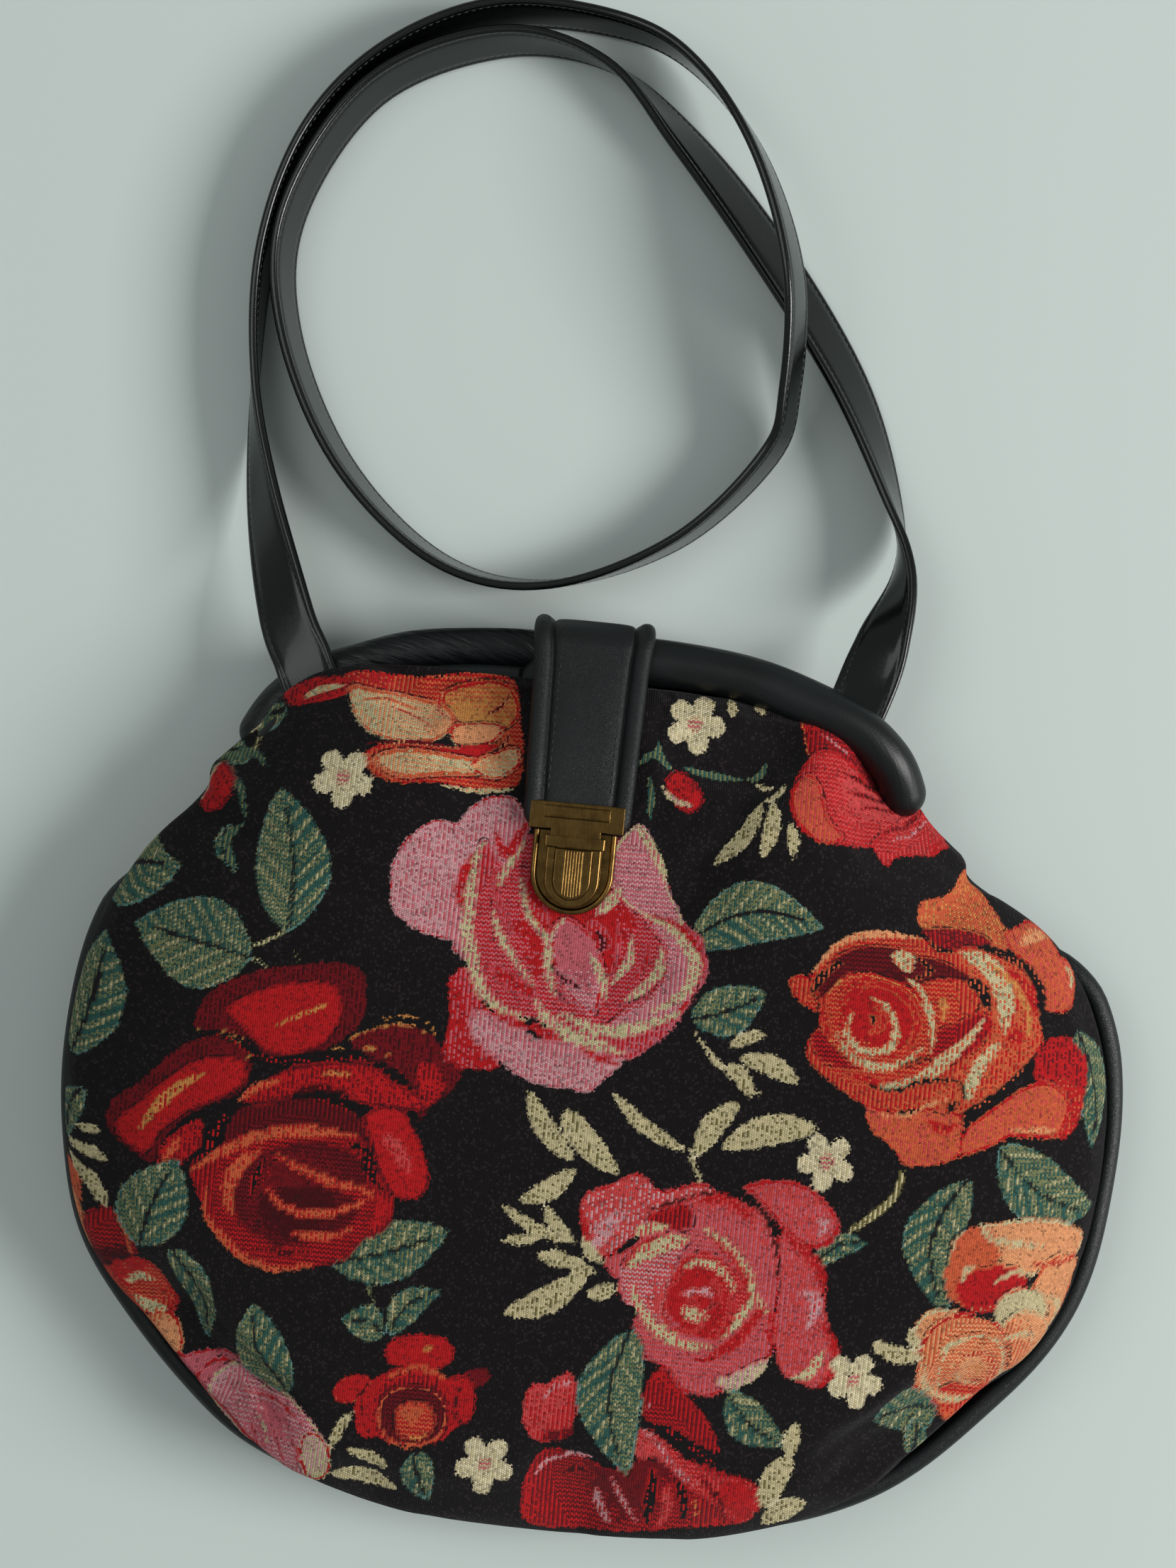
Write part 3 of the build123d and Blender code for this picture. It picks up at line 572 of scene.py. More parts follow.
def drawRose(weave, rose):
    left, top = rose["corner"]
    x, y, reach = rose["heart"]
    heart = (x + left, y + top)

    def spots(flat):
        return [(a + left, b + top) for a, b in zip(flat[::2], flat[1::2])]

    for ink, shadeInk, rim, wide, *flat in rose.get("outlines", []):
        weave.lay(closedShape(spots(flat)), ink, shadeInk, petalShade(heart, reach, thread["petal"]), rim, wide)
    for a, b, across, along, tilt, ink, shadeInk, rim, wide in rose.get("petals", []):
        oval = ellipseShape(a + left, b + top, across, along, tilt)
        weave.lay(oval, ink, shadeInk, petalShade(heart, reach, thread["oval"]), rim, wide)
    for ink, width, *flat in rose["strokes"]:
        weave.lay(strokeShape(spots(flat), width), ink, rose["ink"], thread["stroke"], shadow=False)


leafing = dict(share=19.0, slant=0.9, vein=25.0, veinSlant=1.1, veinWide=2.4, clear=4, rib=2.6, ribEnd=0.86)


def drawLeaf(weave, leaf):
    *ends, width, bend = leaf
    base, tip = np.array(ends, float).reshape(2, 2)
    run = tip - base
    length = np.linalg.norm(run)
    run /= length
    normal = np.array([-run[1], run[0]])
    t = np.linspace(0, 1, 16)
    mid = base + run * length * t[:, None] + normal * (bend * length * np.sin(math.pi * t))[:, None]
    half = width / 2 * np.sin(math.pi * t**0.85) ** 0.8
    shape = np.concatenate([mid + normal * half[:, None], (mid - normal * half[:, None])[::-1]])

    def along(spots):
        u = (spots - base) @ run / length
        v = (spots - base) @ normal - bend * length * np.sin(math.pi * np.clip(u, 0, 1))
        return u, v

    def share(spots):
        u, v = along(spots)
        veins = 0.5 + 0.5 * np.sin((u * length - np.abs(v) * leafing["slant"]) * 2 * math.pi / leafing["share"])
        return np.where(v > 0, 0.12 + 0.6 * veins**2, 0.3 + 0.65 * veins)

    hit = weave.lay(shape, "teal", "moss", share, "sea", 3.0)
    if len(hit):
        u, v = along(weave.where[hit])
        rib = hit[(np.abs(v) < leafing["rib"]) & (u < leafing["ribEnd"])]
        weave.first[rib] = inks["black"] * 1.5
        weave.share[rib] = 0.15
        fromVein = np.abs(np.mod(u * length - np.abs(v) * leafing["veinSlant"], leafing["vein"]) - leafing["vein"] / 2)
        veins = hit[(fromVein < leafing["veinWide"]) & (np.abs(v) > leafing["clear"])]
        weave.first[veins] = inks["moss"]
        weave.second[veins] = inks["cream"]
        weave.share[veins] = 0.35


def drawFlower(weave, x, y, reach, turn):
    for k in range(5):
        a = math.radians(turn + 72 * k)
        petal = ellipseShape(x + reach * 0.6 * math.cos(a), y + reach * 0.6 * math.sin(a), reach * 0.42, reach * 0.36,
                             math.degrees(a))
        weave.lay(petal, "ivory", "cream", 0.3, shadow=False)
    weave.lay(ellipseShape(x, y, reach * 0.24, reach * 0.24), "cream", "pink", 0.55, shadow=False)


def drawSprig(weave, blades):
    for bx, by, tx, ty, width in blades:
        middle = ((bx + tx) / 2 + (ty - by) * 0.08, (by + ty) / 2 - (tx - bx) * 0.08)
        blade = strokeShape([(bx, by), middle, (tx, ty)], width, 0.1)
        weave.lay(blade, "cream", "olive", 0.22, "ivory", 2.0, False)


roses = dict(  # each one's points are counted from its own corner
    topCream=dict(corner=(360, 850), heart=(240, 80, 110), ink="peach",
        outlines=[
         ("red", "orange", None, 0, 76, 16, 110, 6, 200, 2, 290, 6, 304, 50, 304, 146, 240, 110, 200, 50, 110, 34),
         ("red", "deep", "red", 4, 4, 36, 40, 18, 84, 16, 88, 36, 50, 50, 16, 50),
         ("orange", "gold", "red", 4, 206, 22, 250, 10, 292, 18, 302, 55, 280, 75, 240, 76, 214, 56),
         ("cream", "peach", "orange", 5, 88, 26, 118, 30, 160, 26, 202, 36, 220, 55, 214, 82, 188, 98, 140, 98, 102,
          80, 88, 52),
         ("cream", "peach", "red", 4, 214, 76, 246, 62, 280, 66, 276, 86, 248, 100, 220, 100),
         ("orange", "red", "red", 3, 110, 108, 160, 96, 220, 100, 280, 94, 302, 110, 304, 146, 260, 156, 200, 148, 146,
          150, 112, 134),
         ("peach", "cream", "orange", 5, 118, 118, 160, 106, 220, 112, 260, 116, 262, 134, 200, 138, 150, 142),
         ("cream", "peach", "red", 3, 240, 122, 280, 100, 300, 100, 302, 122, 272, 140)],
        strokes=[
         ("cream", 9, 32, 40, 54, 30, 80, 26), ("red", 6, 208, 18, 200, 42, 218, 68),
         ("deep", 6, 110, 100, 170, 98, 230, 104), ("deep", 5, 258, 52, 280, 40, 292, 26),
         ("red", 5, 140, 50, 170, 58, 196, 80), ("cream", 7, 200, 150, 250, 156, 304, 152),
         ("orange", 5, 102, 46, 140, 40, 180, 46), ("wine", 5, 290, 80, 280, 96, 260, 108)]),
    pinkCream=dict(corner=(500, 1010), heart=(235, 170, 150), ink="pink",
        outlines=[
         ("pale", "pink", "red", 3, 1, 120, 7, 78, 30, 49, 59, 33, 85, 36, 94, 23, 114, 7, 133, 1, 159, 4, 175, 30,
          175, 62, 152, 88, 133, 94, 120, 120, 114, 169, 107, 217, 81, 198, 78, 186, 49, 180, 23, 167, 5, 149),
         ("red", "pink", None, 0, 75, 237, 94, 220, 114, 230, 120, 275, 123, 314, 139, 346, 104, 350, 68, 340, 73, 298,
          76, 266),
         ("pale", "pink", "pink", 4, 107, 275, 133, 278, 159, 285, 185, 308, 236, 314, 275, 324, 298, 337, 275, 359,
          252, 379, 227, 375, 178, 366, 146, 346, 117, 320, 102, 301),
         ("pink", "red", "pink", 3, 104, 101, 117, 56, 133, 75, 146, 88, 172, 56, 191, 49, 294, 52, 317, 36, 340, 75,
          353, 117, 372, 159, 395, 185, 401, 227, 385, 259, 362, 291, 327, 324, 294, 337, 243, 314, 204, 295, 175, 282,
          146, 285, 120, 259, 107, 227, 97, 185, 96, 136),
         ("pale", "pink", "cream", 4, 288, 62, 314, 36, 333, 56, 344, 88, 353, 120, 372, 162, 349, 159, 314, 149, 294,
          133, 275, 101),
         ("pink", "red", None, 0, 133, 120, 159, 94, 178, 101, 191, 153, 198, 217, 210, 266, 178, 262, 146, 224, 133,
          172),
         ("pale", "pink", "red", 3, 323, 156, 356, 172, 382, 204, 388, 237, 369, 272, 333, 291, 301, 298, 269, 298,
          294, 275, 327, 256, 346, 224, 346, 191),
         ("pale", "pink", "red", 4, 204, 172, 227, 156, 259, 185, 269, 217, 265, 259, 256, 278, 230, 259, 210, 227)],
        strokes=[
         ("cream", 17, 120, 54, 107, 88, 101, 140, 98, 169, 105, 207, 115, 243, 136, 269, 178, 285),
         ("cream", 10, 129, 141, 139, 175, 159, 211, 188, 246), ("cream", 14, 170, 56, 149, 91, 136, 117),
         ("cream", 11, 164, 101, 173, 146, 196, 178, 206, 220),
         ("cream", 10, 223, 154, 202, 182, 199, 217, 207, 246, 227, 266),
         ("cream", 19, 183, 256, 198, 282, 227, 304, 262, 316, 296, 329), ("cream", 14, 252, 201, 267, 230, 272, 261),
         ("cream", 12, 306, 178, 301, 211, 278, 241), ("cream", 14, 341, 190, 340, 220, 320, 245, 296, 261),
         ("cream", 17, 314, 149, 349, 164, 377, 195, 383, 230, 362, 259, 320, 278),
         ("cream", 17, 210, 272, 249, 293, 291, 299, 330, 290, 369, 275), ("cream", 17, 294, 117, 278, 136, 260, 153),
         ("cream", 13, 309, 38, 336, 75, 351, 117), ("red", 21, 175, 101, 185, 140, 199, 175),
         ("red", 14, 104, 75, 89, 117, 93, 149), ("red", 14, 133, 43, 146, 75, 175, 30),
         ("red", 19, 130, 214, 152, 237, 188, 253), ("red", 7, 131, 88, 137, 133, 159, 185),
         ("wine", 8, 201, 212, 220, 233, 244, 245), ("wine", 7, 207, 246, 227, 266),
         ("red", 23, 252, 159, 264, 178, 278, 195), ("wine", 10, 262, 172, 270, 188, 262, 201),
         ("red", 8, 323, 149, 365, 167, 391, 201, 396, 233), ("wine", 5, 336, 243, 311, 259, 285, 267),
         ("red", 16, 178, 290, 198, 303, 220, 311), ("red", 10, 233, 317, 262, 333, 291, 343),
         ("red", 5, 288, 159, 288, 198, 275, 237), ("red", 12, 120, 272, 152, 287, 178, 295),
         ("red", 6, 327, 178, 323, 211, 301, 243)]),
    bigRed=dict(corner=(140, 1220), heart=(243, 300, 120), ink="red",
        outlines=[
         ("deep", "wine", None, 0, 118, 88, 126, 59, 151, 34, 201, 16, 244, 9, 287, 6, 315, 9, 331, 23, 329, 73, 308,
          98, 279, 116, 244, 122, 211, 122, 183, 102, 151, 93),
         ("red", "red", "deep", 2, 161, 63, 201, 41, 244, 32, 287, 34, 299, 56, 294, 84, 272, 109, 233, 120, 204, 113,
          179, 88),
         ("deep", "wine", None, 0, 308, 102, 337, 88, 365, 81, 401, 88, 426, 109, 431, 127, 451, 141, 440, 166, 412,
          188, 397, 206, 390, 170, 372, 141, 337, 124),
         ("red", "deep", None, 0, 394, 141, 412, 131, 428, 156, 422, 177, 404, 184),
         ("deep", "wine", None, 0, 9, 202, 18, 174, 47, 156, 76, 131, 111, 106, 151, 98, 183, 116, 188, 149, 165, 174,
          122, 191, 86, 220, 68, 256, 40, 241, 18, 220),
         ("red", "red", "deep", 2, 22, 202, 54, 177, 83, 152, 118, 131, 154, 124, 179, 134, 179, 156, 151, 174, 108,
          191, 76, 216, 58, 241, 29, 224),
         ("red", "deep", None, 0, 70, 259, 83, 227, 111, 206, 127, 202, 126, 234, 108, 252, 93, 267),
         ("wine", "deep", None, 0, 154, 227, 172, 188, 208, 181, 258, 174, 297, 181, 329, 206, 340, 241, 294, 227, 254,
          216, 208, 224, 172, 238),
         ("red", "deep", "deep", 4, 172, 177, 201, 156, 236, 138, 290, 131, 337, 134, 369, 156, 394, 170, 403, 191,
          362, 188, 329, 184, 294, 170, 265, 166, 229, 177, 201, 184),
         ("red", "red", "deep", 4, 329, 195, 372, 188, 394, 220, 406, 252, 410, 284, 397, 302, 369, 302, 351, 277, 340,
          241),
         ("red", "deep", "deep", 3, 111, 263, 136, 241, 172, 224, 222, 211, 272, 213, 319, 224, 337, 249, 358, 288,
          367, 313, 354, 342, 322, 359, 308, 377, 272, 388, 229, 393, 194, 381, 151, 356, 129, 320, 118, 288),
         ("wine", "deep", None, 0, 165, 313, 165, 277, 186, 252, 222, 238, 261, 231, 301, 238, 326, 259, 329, 288, 294,
          288, 258, 277, 229, 259, 215, 249, 204, 270, 197, 299, 201, 345, 179, 338),
         ("deep", "wine", None, 0, 201, 299, 258, 288, 308, 299, 322, 317, 294, 345, 244, 359, 215, 363, 201, 342)],
        strokes=[
         ("gold", 6, 220, 84, 254, 70, 281, 60), ("gold", 3, 340, 79, 379, 72, 408, 81, 428, 102),
         ("gold", 3, 269, 117, 308, 113, 347, 117, 376, 131), ("gold", 3, 301, 106, 337, 90, 379, 82, 419, 97),
         ("gold", 3, 122, 91, 151, 91, 179, 109, 186, 141), ("gold", 14, 49, 215, 72, 184, 104, 159, 131, 145),
         ("orange", 11, 79, 256, 90, 238, 101, 224), ("gold", 5, 274, 146, 304, 144, 336, 149),
         ("orange", 11, 170, 180, 197, 161, 228, 151), ("coral", 19, 349, 222, 371, 241, 388, 272),
         ("black", 11, 115, 104, 143, 97, 172, 107, 201, 125, 244, 131, 294, 125, 344, 131, 379, 150, 399, 177),
         ("black", 16, 169, 181, 145, 213, 129, 245, 108, 259), ("black", 9, 261, 180, 297, 180, 326, 202),
         ("black", 16, 303, 229, 329, 245, 338, 274, 354, 295), ("black", 9, 206, 247, 194, 270, 185, 302),
         ("orange", 16, 108, 268, 151, 243, 201, 223, 261, 217, 324, 225),
         ("orange", 11, 131, 284, 129, 320, 151, 352, 179, 377, 222, 391, 276, 383),
         ("orange", 20, 199, 241, 174, 259, 158, 288, 162, 324),
         ("orange", 11, 213, 244, 254, 267, 290, 282, 326, 292, 351, 308),
         ("orange", 11, 206, 286, 224, 310, 260, 322, 304, 316, 340, 300), ("red", 14, 340, 299, 354, 317, 337, 338),
         ("orange", 9, 235, 346, 272, 351, 312, 342), ("wine", 9, 183, 363, 229, 370, 272, 367),
         ("wine", 11, 236, 170, 272, 163, 308, 170)]),
    orangeCream=dict(corner=(1000, 1110), heart=(120, 180, 110), ink="orange",
        outlines=[
         ("orange", "gold", None, 0, 166, 54, 173, 37, 202, 29, 224, 13, 243, 5, 257, 16, 273, 43, 284, 75, 297, 94,
          273, 102, 251, 92, 230, 94, 200, 102, 183, 92, 170, 73),
         ("orange", "coral", "red", 3, 278, 81, 311, 79, 338, 83, 357, 100, 360, 124, 379, 135, 376, 157, 357, 178,
          324, 178, 322, 149, 308, 124, 284, 102),
         ("deep", "red", None, 0, 173, 75, 208, 73, 246, 81, 257, 94, 219, 102, 197, 102, 181, 92),
         ("red", "deep", "red", 3, 311, 235, 327, 214, 351, 208, 370, 227, 379, 246, 373, 287, 360, 325, 338, 336, 311,
          273),
         ("orange", "coral", "red", 5, 246, 306, 270, 287, 305, 268, 335, 268, 354, 289, 351, 314, 338, 336, 305, 336,
          278, 336, 251, 349, 219, 360, 211, 355, 224, 322),
         ("orange", "coral", "red", 3, 97, 298, 116, 300, 148, 306, 181, 298, 216, 306, 219, 336, 213, 360, 186, 371,
          148, 371, 132, 349, 105, 325),
         ("orange", "red", "red", 4, 2, 140, 13, 130, 32, 132, 51, 127, 56, 149, 48, 178, 32, 176, 10, 159),
         ("orange", "red", "red", 3, 32, 127, 59, 97, 89, 83, 127, 79, 170, 83, 194, 105, 230, 97, 257, 105, 289, 119,
          311, 143, 316, 181, 322, 214, 305, 241, 278, 270, 240, 298, 219, 308, 175, 300, 137, 303, 102, 298, 75, 281,
          51, 262, 29, 241, 26, 214, 40, 192, 40, 165),
         ("red", "deep", None, 0, 32, 208, 48, 200, 61, 214, 72, 235, 89, 246, 67, 246, 42, 235),
         ("deep", "wine", None, 0, 40, 143, 61, 111, 94, 97, 132, 97, 159, 108, 192, 116, 216, 127, 235, 143, 197, 143,
          159, 143, 137, 138, 102, 127, 67, 135, 48, 162),
         ("orange", "red", "gold", 3, 51, 154, 75, 135, 102, 130, 137, 140, 164, 159, 181, 192, 186, 214, 175, 235,
          148, 246, 113, 246, 80, 235, 56, 216, 45, 186),
         ("orange", "red", "red", 3, 170, 143, 202, 138, 230, 143, 238, 165, 230, 189, 202, 205, 186, 197, 175, 170),
         ("red", "deep", None, 0, 186, 205, 216, 192, 243, 181, 257, 197, 230, 230, 192, 246, 181, 235)],
        strokes=[
         ("peach", 11, 34, 127, 64, 94, 99, 81, 137, 81, 173, 86), ("cream", 23, 132, 108, 148, 113, 154, 131),
         ("cream", 10, 151, 135, 170, 154, 179, 181, 183, 211, 179, 230),
         ("cream", 26, 216, 106, 246, 116, 266, 138, 274, 170, 270, 208),
         ("cream", 17, 248, 186, 219, 219, 189, 246, 154, 268, 110, 273),
         ("cream", 17, 269, 216, 246, 238, 231, 265, 224, 292),
         ("cream", 11, 63, 203, 78, 230, 108, 246, 143, 243, 177, 216),
         ("cream", 11, 85, 177, 76, 200, 89, 222, 116, 228, 135, 216, 135, 192, 125, 170, 105, 161),
         ("peach", 5, 116, 306, 148, 308, 181, 293, 202, 287), ("peach", 11, 295, 94, 327, 94, 351, 105),
         ("cream", 7, 362, 138, 370, 146, 362, 159), ("peach", 8, 278, 325, 311, 327, 338, 325),
         ("gold", 11, 192, 159, 197, 176, 194, 189), ("gold", 8, 246, 111, 289, 149, 303, 186, 300, 214),
         ("black", 9, 37, 162, 34, 149, 51, 127, 75, 112), ("black", 8, 159, 106, 181, 127, 159, 138),
         ("black", 18, 224, 138, 243, 151, 253, 178), ("black", 7, 97, 269, 137, 277, 175, 264, 219, 269, 216, 298),
         ("black", 8, 311, 233, 278, 268, 246, 292, 223, 308, 219, 349), ("black", 5, 143, 247, 170, 235),
         ("black", 7, 173, 78, 192, 101, 216, 105), ("black", 11, 103, 180, 114, 192),
         ("black", 10, 246, 94, 284, 113, 311, 130, 323, 157, 322, 184), ("black", 19, 200, 292, 211, 298),
         ("red", 10, 91, 149, 121, 143, 154, 165, 164, 197, 148, 235), ("red", 14, 278, 127, 303, 149, 312, 184),
         ("red", 8, 108, 172, 121, 177, 120, 197, 101, 205), ("red", 11, 75, 254, 108, 265, 140, 262),
         ("red", 14, 173, 311, 197, 325, 216, 317), ("red", 22, 278, 200, 292, 222),
         ("red", 14, 338, 260, 365, 287, 349, 336), ("red", 8, 51, 149, 47, 181, 55, 214)]),
    lowRed=dict(corner=(660, 1730), heart=(140, 140, 110), ink="red",
        outlines=[
         ("coral", "red", "red", 3, 8, 46, 20, 27, 42, 24, 54, 15, 73, 15, 76, 62, 61, 96, 26, 102, 8, 77),
         ("red", "deep", None, 0, 157, 65, 170, 15, 191, 9, 216, 40, 241, 71, 257, 112, 229, 102, 198, 87),
         ("red", "deep", "red", 3, 4, 177, 20, 127, 54, 108, 117, 133, 154, 121, 204, 118, 254, 133, 297, 149, 308,
          171, 278, 199, 210, 202, 117, 207, 26, 202),
         ("red", "coral", None, 0, 149, 80, 179, 90, 216, 121, 257, 143, 297, 149, 308, 177, 278, 199, 241, 171, 210,
          149, 179, 121, 151, 118)],
        strokes=[
         ("black", 14, 162, 71, 201, 90, 241, 121, 261, 141), ("black", 17, 173, 129, 170, 168, 162, 202),
         ("black", 15, 199, 141, 210, 171, 207, 196), ("pale", 6, 154, 80, 179, 102, 204, 136, 230, 155),
         ("pale", 7, 117, 138, 132, 171, 152, 199), ("pale", 11, 99, 161, 104, 183, 118, 199),
         ("coral", 14, 190, 152, 189, 180, 177, 202), ("gold", 3, 222, 168, 226, 183, 219, 196),
         ("red", 37, 257, 152, 278, 171, 294, 186), ("pale", 6, 51, 126, 73, 115, 96, 119),
         ("pale", 6, 23, 149, 36, 130, 57, 121), ("pale", 6, 33, 46, 48, 31, 71, 23),
         ("deep", 14, 29, 96, 61, 91, 75, 87), ("wine", 9, 54, 149, 79, 136, 101, 149),
         ("wine", 8, 229, 140, 254, 171, 257, 196), ("pale", 4, 162, 49, 170, 57, 182, 59)]),
    coralPink=dict(corner=(730, 1490), heart=(150, 165, 110), ink="coral",
        outlines=[
         ("coral", "pale", "red", 4, 9, 40, 22, 22, 47, 15, 75, 0, 96, 6, 115, 22, 159, 12, 184, 22, 159, 34, 134, 50,
          109, 68, 78, 81, 47, 106, 22, 102, 12, 71),
         ("coral", "pink", "red", 6, 215, 18, 243, 9, 277, 9, 311, 25, 333, 50, 339, 71, 324, 90, 302, 96, 277, 81,
          252, 56, 233, 34),
         ("coral", "pink", "red", 3, 261, 78, 283, 87, 302, 109, 314, 146, 324, 187, 333, 224, 324, 261, 308, 274, 283,
          264, 265, 255, 255, 218, 258, 162, 261, 121),
         ("coral", "pink", "red", 3, 37, 109, 65, 99, 87, 81, 109, 50, 140, 34, 184, 25, 218, 37, 246, 59, 258, 93,
          261, 137, 255, 193, 252, 224, 221, 233, 184, 230, 159, 239, 128, 233, 90, 218, 75, 193, 81, 174, 62, 162, 56,
          137),
         ("coral", "pink", "red", 4, 75, 199, 96, 190, 131, 211, 159, 233, 177, 233, 202, 218, 240, 193, 252, 215, 246,
          239, 221, 261, 196, 274, 171, 283, 140, 274, 121, 249, 90, 233),
         ("cream", "pale", None, 0, 184, 261, 202, 255, 233, 239, 251, 236, 233, 261, 199, 275),
         ("pale", "coral", None, 0, 62, 124, 75, 102, 109, 84, 146, 81, 134, 109, 121, 146, 121, 174, 115, 193, 90,
          177, 68, 162),
         ("coral", "red", None, 0, 121, 174, 124, 137, 146, 109, 165, 99, 196, 112, 215, 137, 221, 162, 208, 193, 187,
          211, 159, 208, 134, 193),
         ("red", "deep", None, 0, 96, 56, 121, 43, 149, 43, 152, 68, 124, 71, 103, 71)],
        strokes=[
         ("cream", 14, 78, 82, 93, 72, 123, 68), ("cream", 25, 73, 121, 93, 99, 124, 88, 149, 84),
         ("cream", 16, 78, 137, 81, 162, 93, 180, 109, 199, 140, 215, 179, 221),
         ("cream", 11, 126, 132, 150, 114, 178, 116, 200, 136, 206, 160), ("cream", 18, 136, 170, 152, 178, 172, 182),
         ("pale", 10, 142, 152, 166, 150, 182, 160),
         ("cream", 11, 162, 67, 187, 84, 212, 109, 227, 137, 233, 159, 253, 182),
         ("cream", 15, 232, 157, 208, 187, 188, 211), ("cream", 12, 274, 260, 296, 255, 321, 222),
         ("pale", 19, 28, 99, 47, 65, 70, 48), ("pale", 16, 289, 149, 308, 162, 296, 199),
         ("pale", 9, 308, 53, 321, 68, 308, 81),
         ("red", 7, 117, 159, 118, 187, 146, 204, 166, 187, 152, 162, 134, 148),
         ("red", 10, 148, 104, 131, 130, 118, 152), ("red", 9, 171, 78, 202, 106, 219, 137, 223, 165),
         ("red", 9, 177, 135, 185, 155, 171, 174), ("red", 8, 202, 149, 202, 180, 184, 210),
         ("red", 16, 244, 168, 224, 193, 202, 218, 168, 233), ("red", 11, 249, 168, 257, 218),
         ("red", 6, 65, 121, 84, 93, 117, 78), ("red", 14, 159, 37, 196, 34, 233, 65),
         ("red", 8, 12, 46, 19, 78, 26, 102), ("red", 14, 258, 62, 283, 90, 314, 124, 319, 168),
         ("red", 12, 314, 187, 331, 215, 331, 249, 308, 272), ("black", 6, 215, 26, 243, 54, 258, 93, 260, 140),
         ("black", 4, 140, 33, 177, 25, 216, 28), ("black", 4, 93, 56, 109, 43, 142, 34),
         ("wine", 5, 184, 162, 171, 174)]),
    smallRed=dict(corner=(450, 1710), heart=(79, 81, 50), ink="red",
        petals=[
         (155, 41, 24, 13, -20, "deep", "wine", None, 0), (88, 7, 44, 24, 0, "red", "deep", "deep", 3),
         (4, 52, 26, 18, -20, "red", "deep", "orange", 3), (137, 67, 22, 32, 0, "red", "deep", "deep", 3),
         (26, 85, 20, 30, 0, "red", "deep", None, 0), (79, 75, 62, 50, 0, "red", "deep", "red", 4),
         (79, 86, 44, 38, 0, "deep", "wine", "orange", 4), (82, 92, 26, 24, 0, "red", "orange", "deep", 3)],
        strokes=[
         ("orange", 6, 44, 40, 84, 26, 128, 41), ("orange", 5, 34, 72, 46, 112, 80, 126, 120, 108),
         ("orange", 4, 55, 90, 70, 72, 98, 76, 106, 98), ("gold", 4, 66, 110, 86, 114, 102, 104),
         ("gold", 3, 70, 6, 90, 4, 106, 2), ("black", 4, 140, 50, 132, 80, 140, 96)]),
    peachCream=dict(corner=(1170, 1540), heart=(70, 190, 80), ink="peach",
        petals=[
         (122, 42, 88, 36, -4, "peach", "orange", "cream", 5), (62, 66, 30, 52, 18, "orange", "peach", "orange", 5),
         (88, 94, 46, 28, -12, "red", "deep", None, 0), (169, 100, 32, 52, 24, "peach", "cream", "orange", 4),
         (126, 120, 36, 28, -10, "cream", "cream", "orange", 3), (130, 166, 38, 46, 20, "peach", "orange", "cream", 4),
         (30, 160, 42, 42, 0, "peach", "orange", "cream", 5), (56, 192, 62, 66, 14, "peach", "orange", "red", 4),
         (70, 198, 46, 48, 0, "orange", "peach", "cream", 5), (68, 250, 38, 26, -24, "orange", "red", "red", 3)],
        strokes=[
         ("cream", 9, 70, 8, 88, 32, 152, 40), ("cream", 7, 48, 86, 56, 70, 70, 64),
         ("cream", 11, 2, 186, 12, 222, 44, 248, 82, 242), ("cream", 7, 20, 182, 36, 164, 66, 160),
         ("red", 7, 52, 182, 80, 176, 104, 200, 92, 230), ("cream", 7, 52, 200, 64, 222, 86, 226),
         ("gold", 5, 70, 198, 84, 202, 82, 214), ("red", 6, 130, 60, 170, 62, 206, 50),
         ("red", 7, 26, 136, 58, 122, 92, 116), ("cream", 9, 160, 100, 180, 120, 170, 150),
         ("cream", 6, 88, 86, 116, 72, 140, 78), ("cream", 8, 106, 160, 136, 150, 148, 160)]),
    footPink=dict(corner=(250, 1740), heart=(100, 70, 90), ink="pink",
        petals=[
         (35, 4, 64, 20, 10, "pink", "pale", "red", 4), (50, 40, 60, 30, 40, "pink", "red", "red", 4),
         (97, 68, 96, 40, 37, "pale", "pink", "cream", 4), (160, 106, 18, 30, -20, "cream", "pale", "red", 4)],
        strokes=[
         ("red", 7, 4, 24, 53, 68, 115, 117, 162, 136), ("red", 5, 50, 36, 100, 44, 146, 72),
         ("red", 4, 70, 64, 84, 82, 94, 102), ("red", 4, 102, 76, 116, 96, 124, 112),
         ("cream", 6, 68, 32, 100, 28, 134, 50), ("cream", 4, 80, 60, 94, 78, 102, 98),
         ("red", 4, 128, 86, 138, 102, 142, 120)]),
    leftOrange=dict(corner=(100, 1500), heart=(70, 100, 90), ink="orange",
        petals=[
         (4, 8, 18, 34, 0, "orange", "red", None, 0), (12, 70, 20, 56, -10, "peach", "orange", "orange", 4),
         (52, 66, 28, 42, -24, "red", "deep", "deep", 4), (48, 106, 30, 30, 0, "deep", "wine", None, 0),
         (74, 144, 42, 52, -10, "orange", "red", "red", 5), (106, 200, 24, 34, -24, "peach", "orange", "red", 4)],
        strokes=[
         ("cream", 15, 72, 140, 86, 156, 110, 168), ("cream", 12, 64, 124, 80, 118, 96, 126),
         ("red", 6, 96, 136, 118, 152, 114, 178), ("peach", 9, 70, 170, 96, 190, 106, 212),
         ("orange", 5, 58, 40, 72, 66, 76, 90), ("red", 5, 80, 190, 98, 208, 116, 222)]),
    topRed=dict(corner=(1000, 900), heart=(120, 100, 100), ink="red",
        outlines=[
         ("red", "deep", "gold", 3, 18, 2, 50, 4, 96, 24, 136, 60, 164, 98, 180, 120, 120, 130, 60, 110, 32, 80, 22,
          40),
         ("red", "coral", "red", 4, 30, 68, 60, 60, 110, 85, 160, 120, 196, 140, 216, 170, 160, 178, 90, 180, 40, 176,
          10, 150, 6, 110),
         ("orange", "coral", "red", 3, 10, 140, 12, 106, 30, 90, 44, 110, 52, 146, 74, 168, 40, 176),
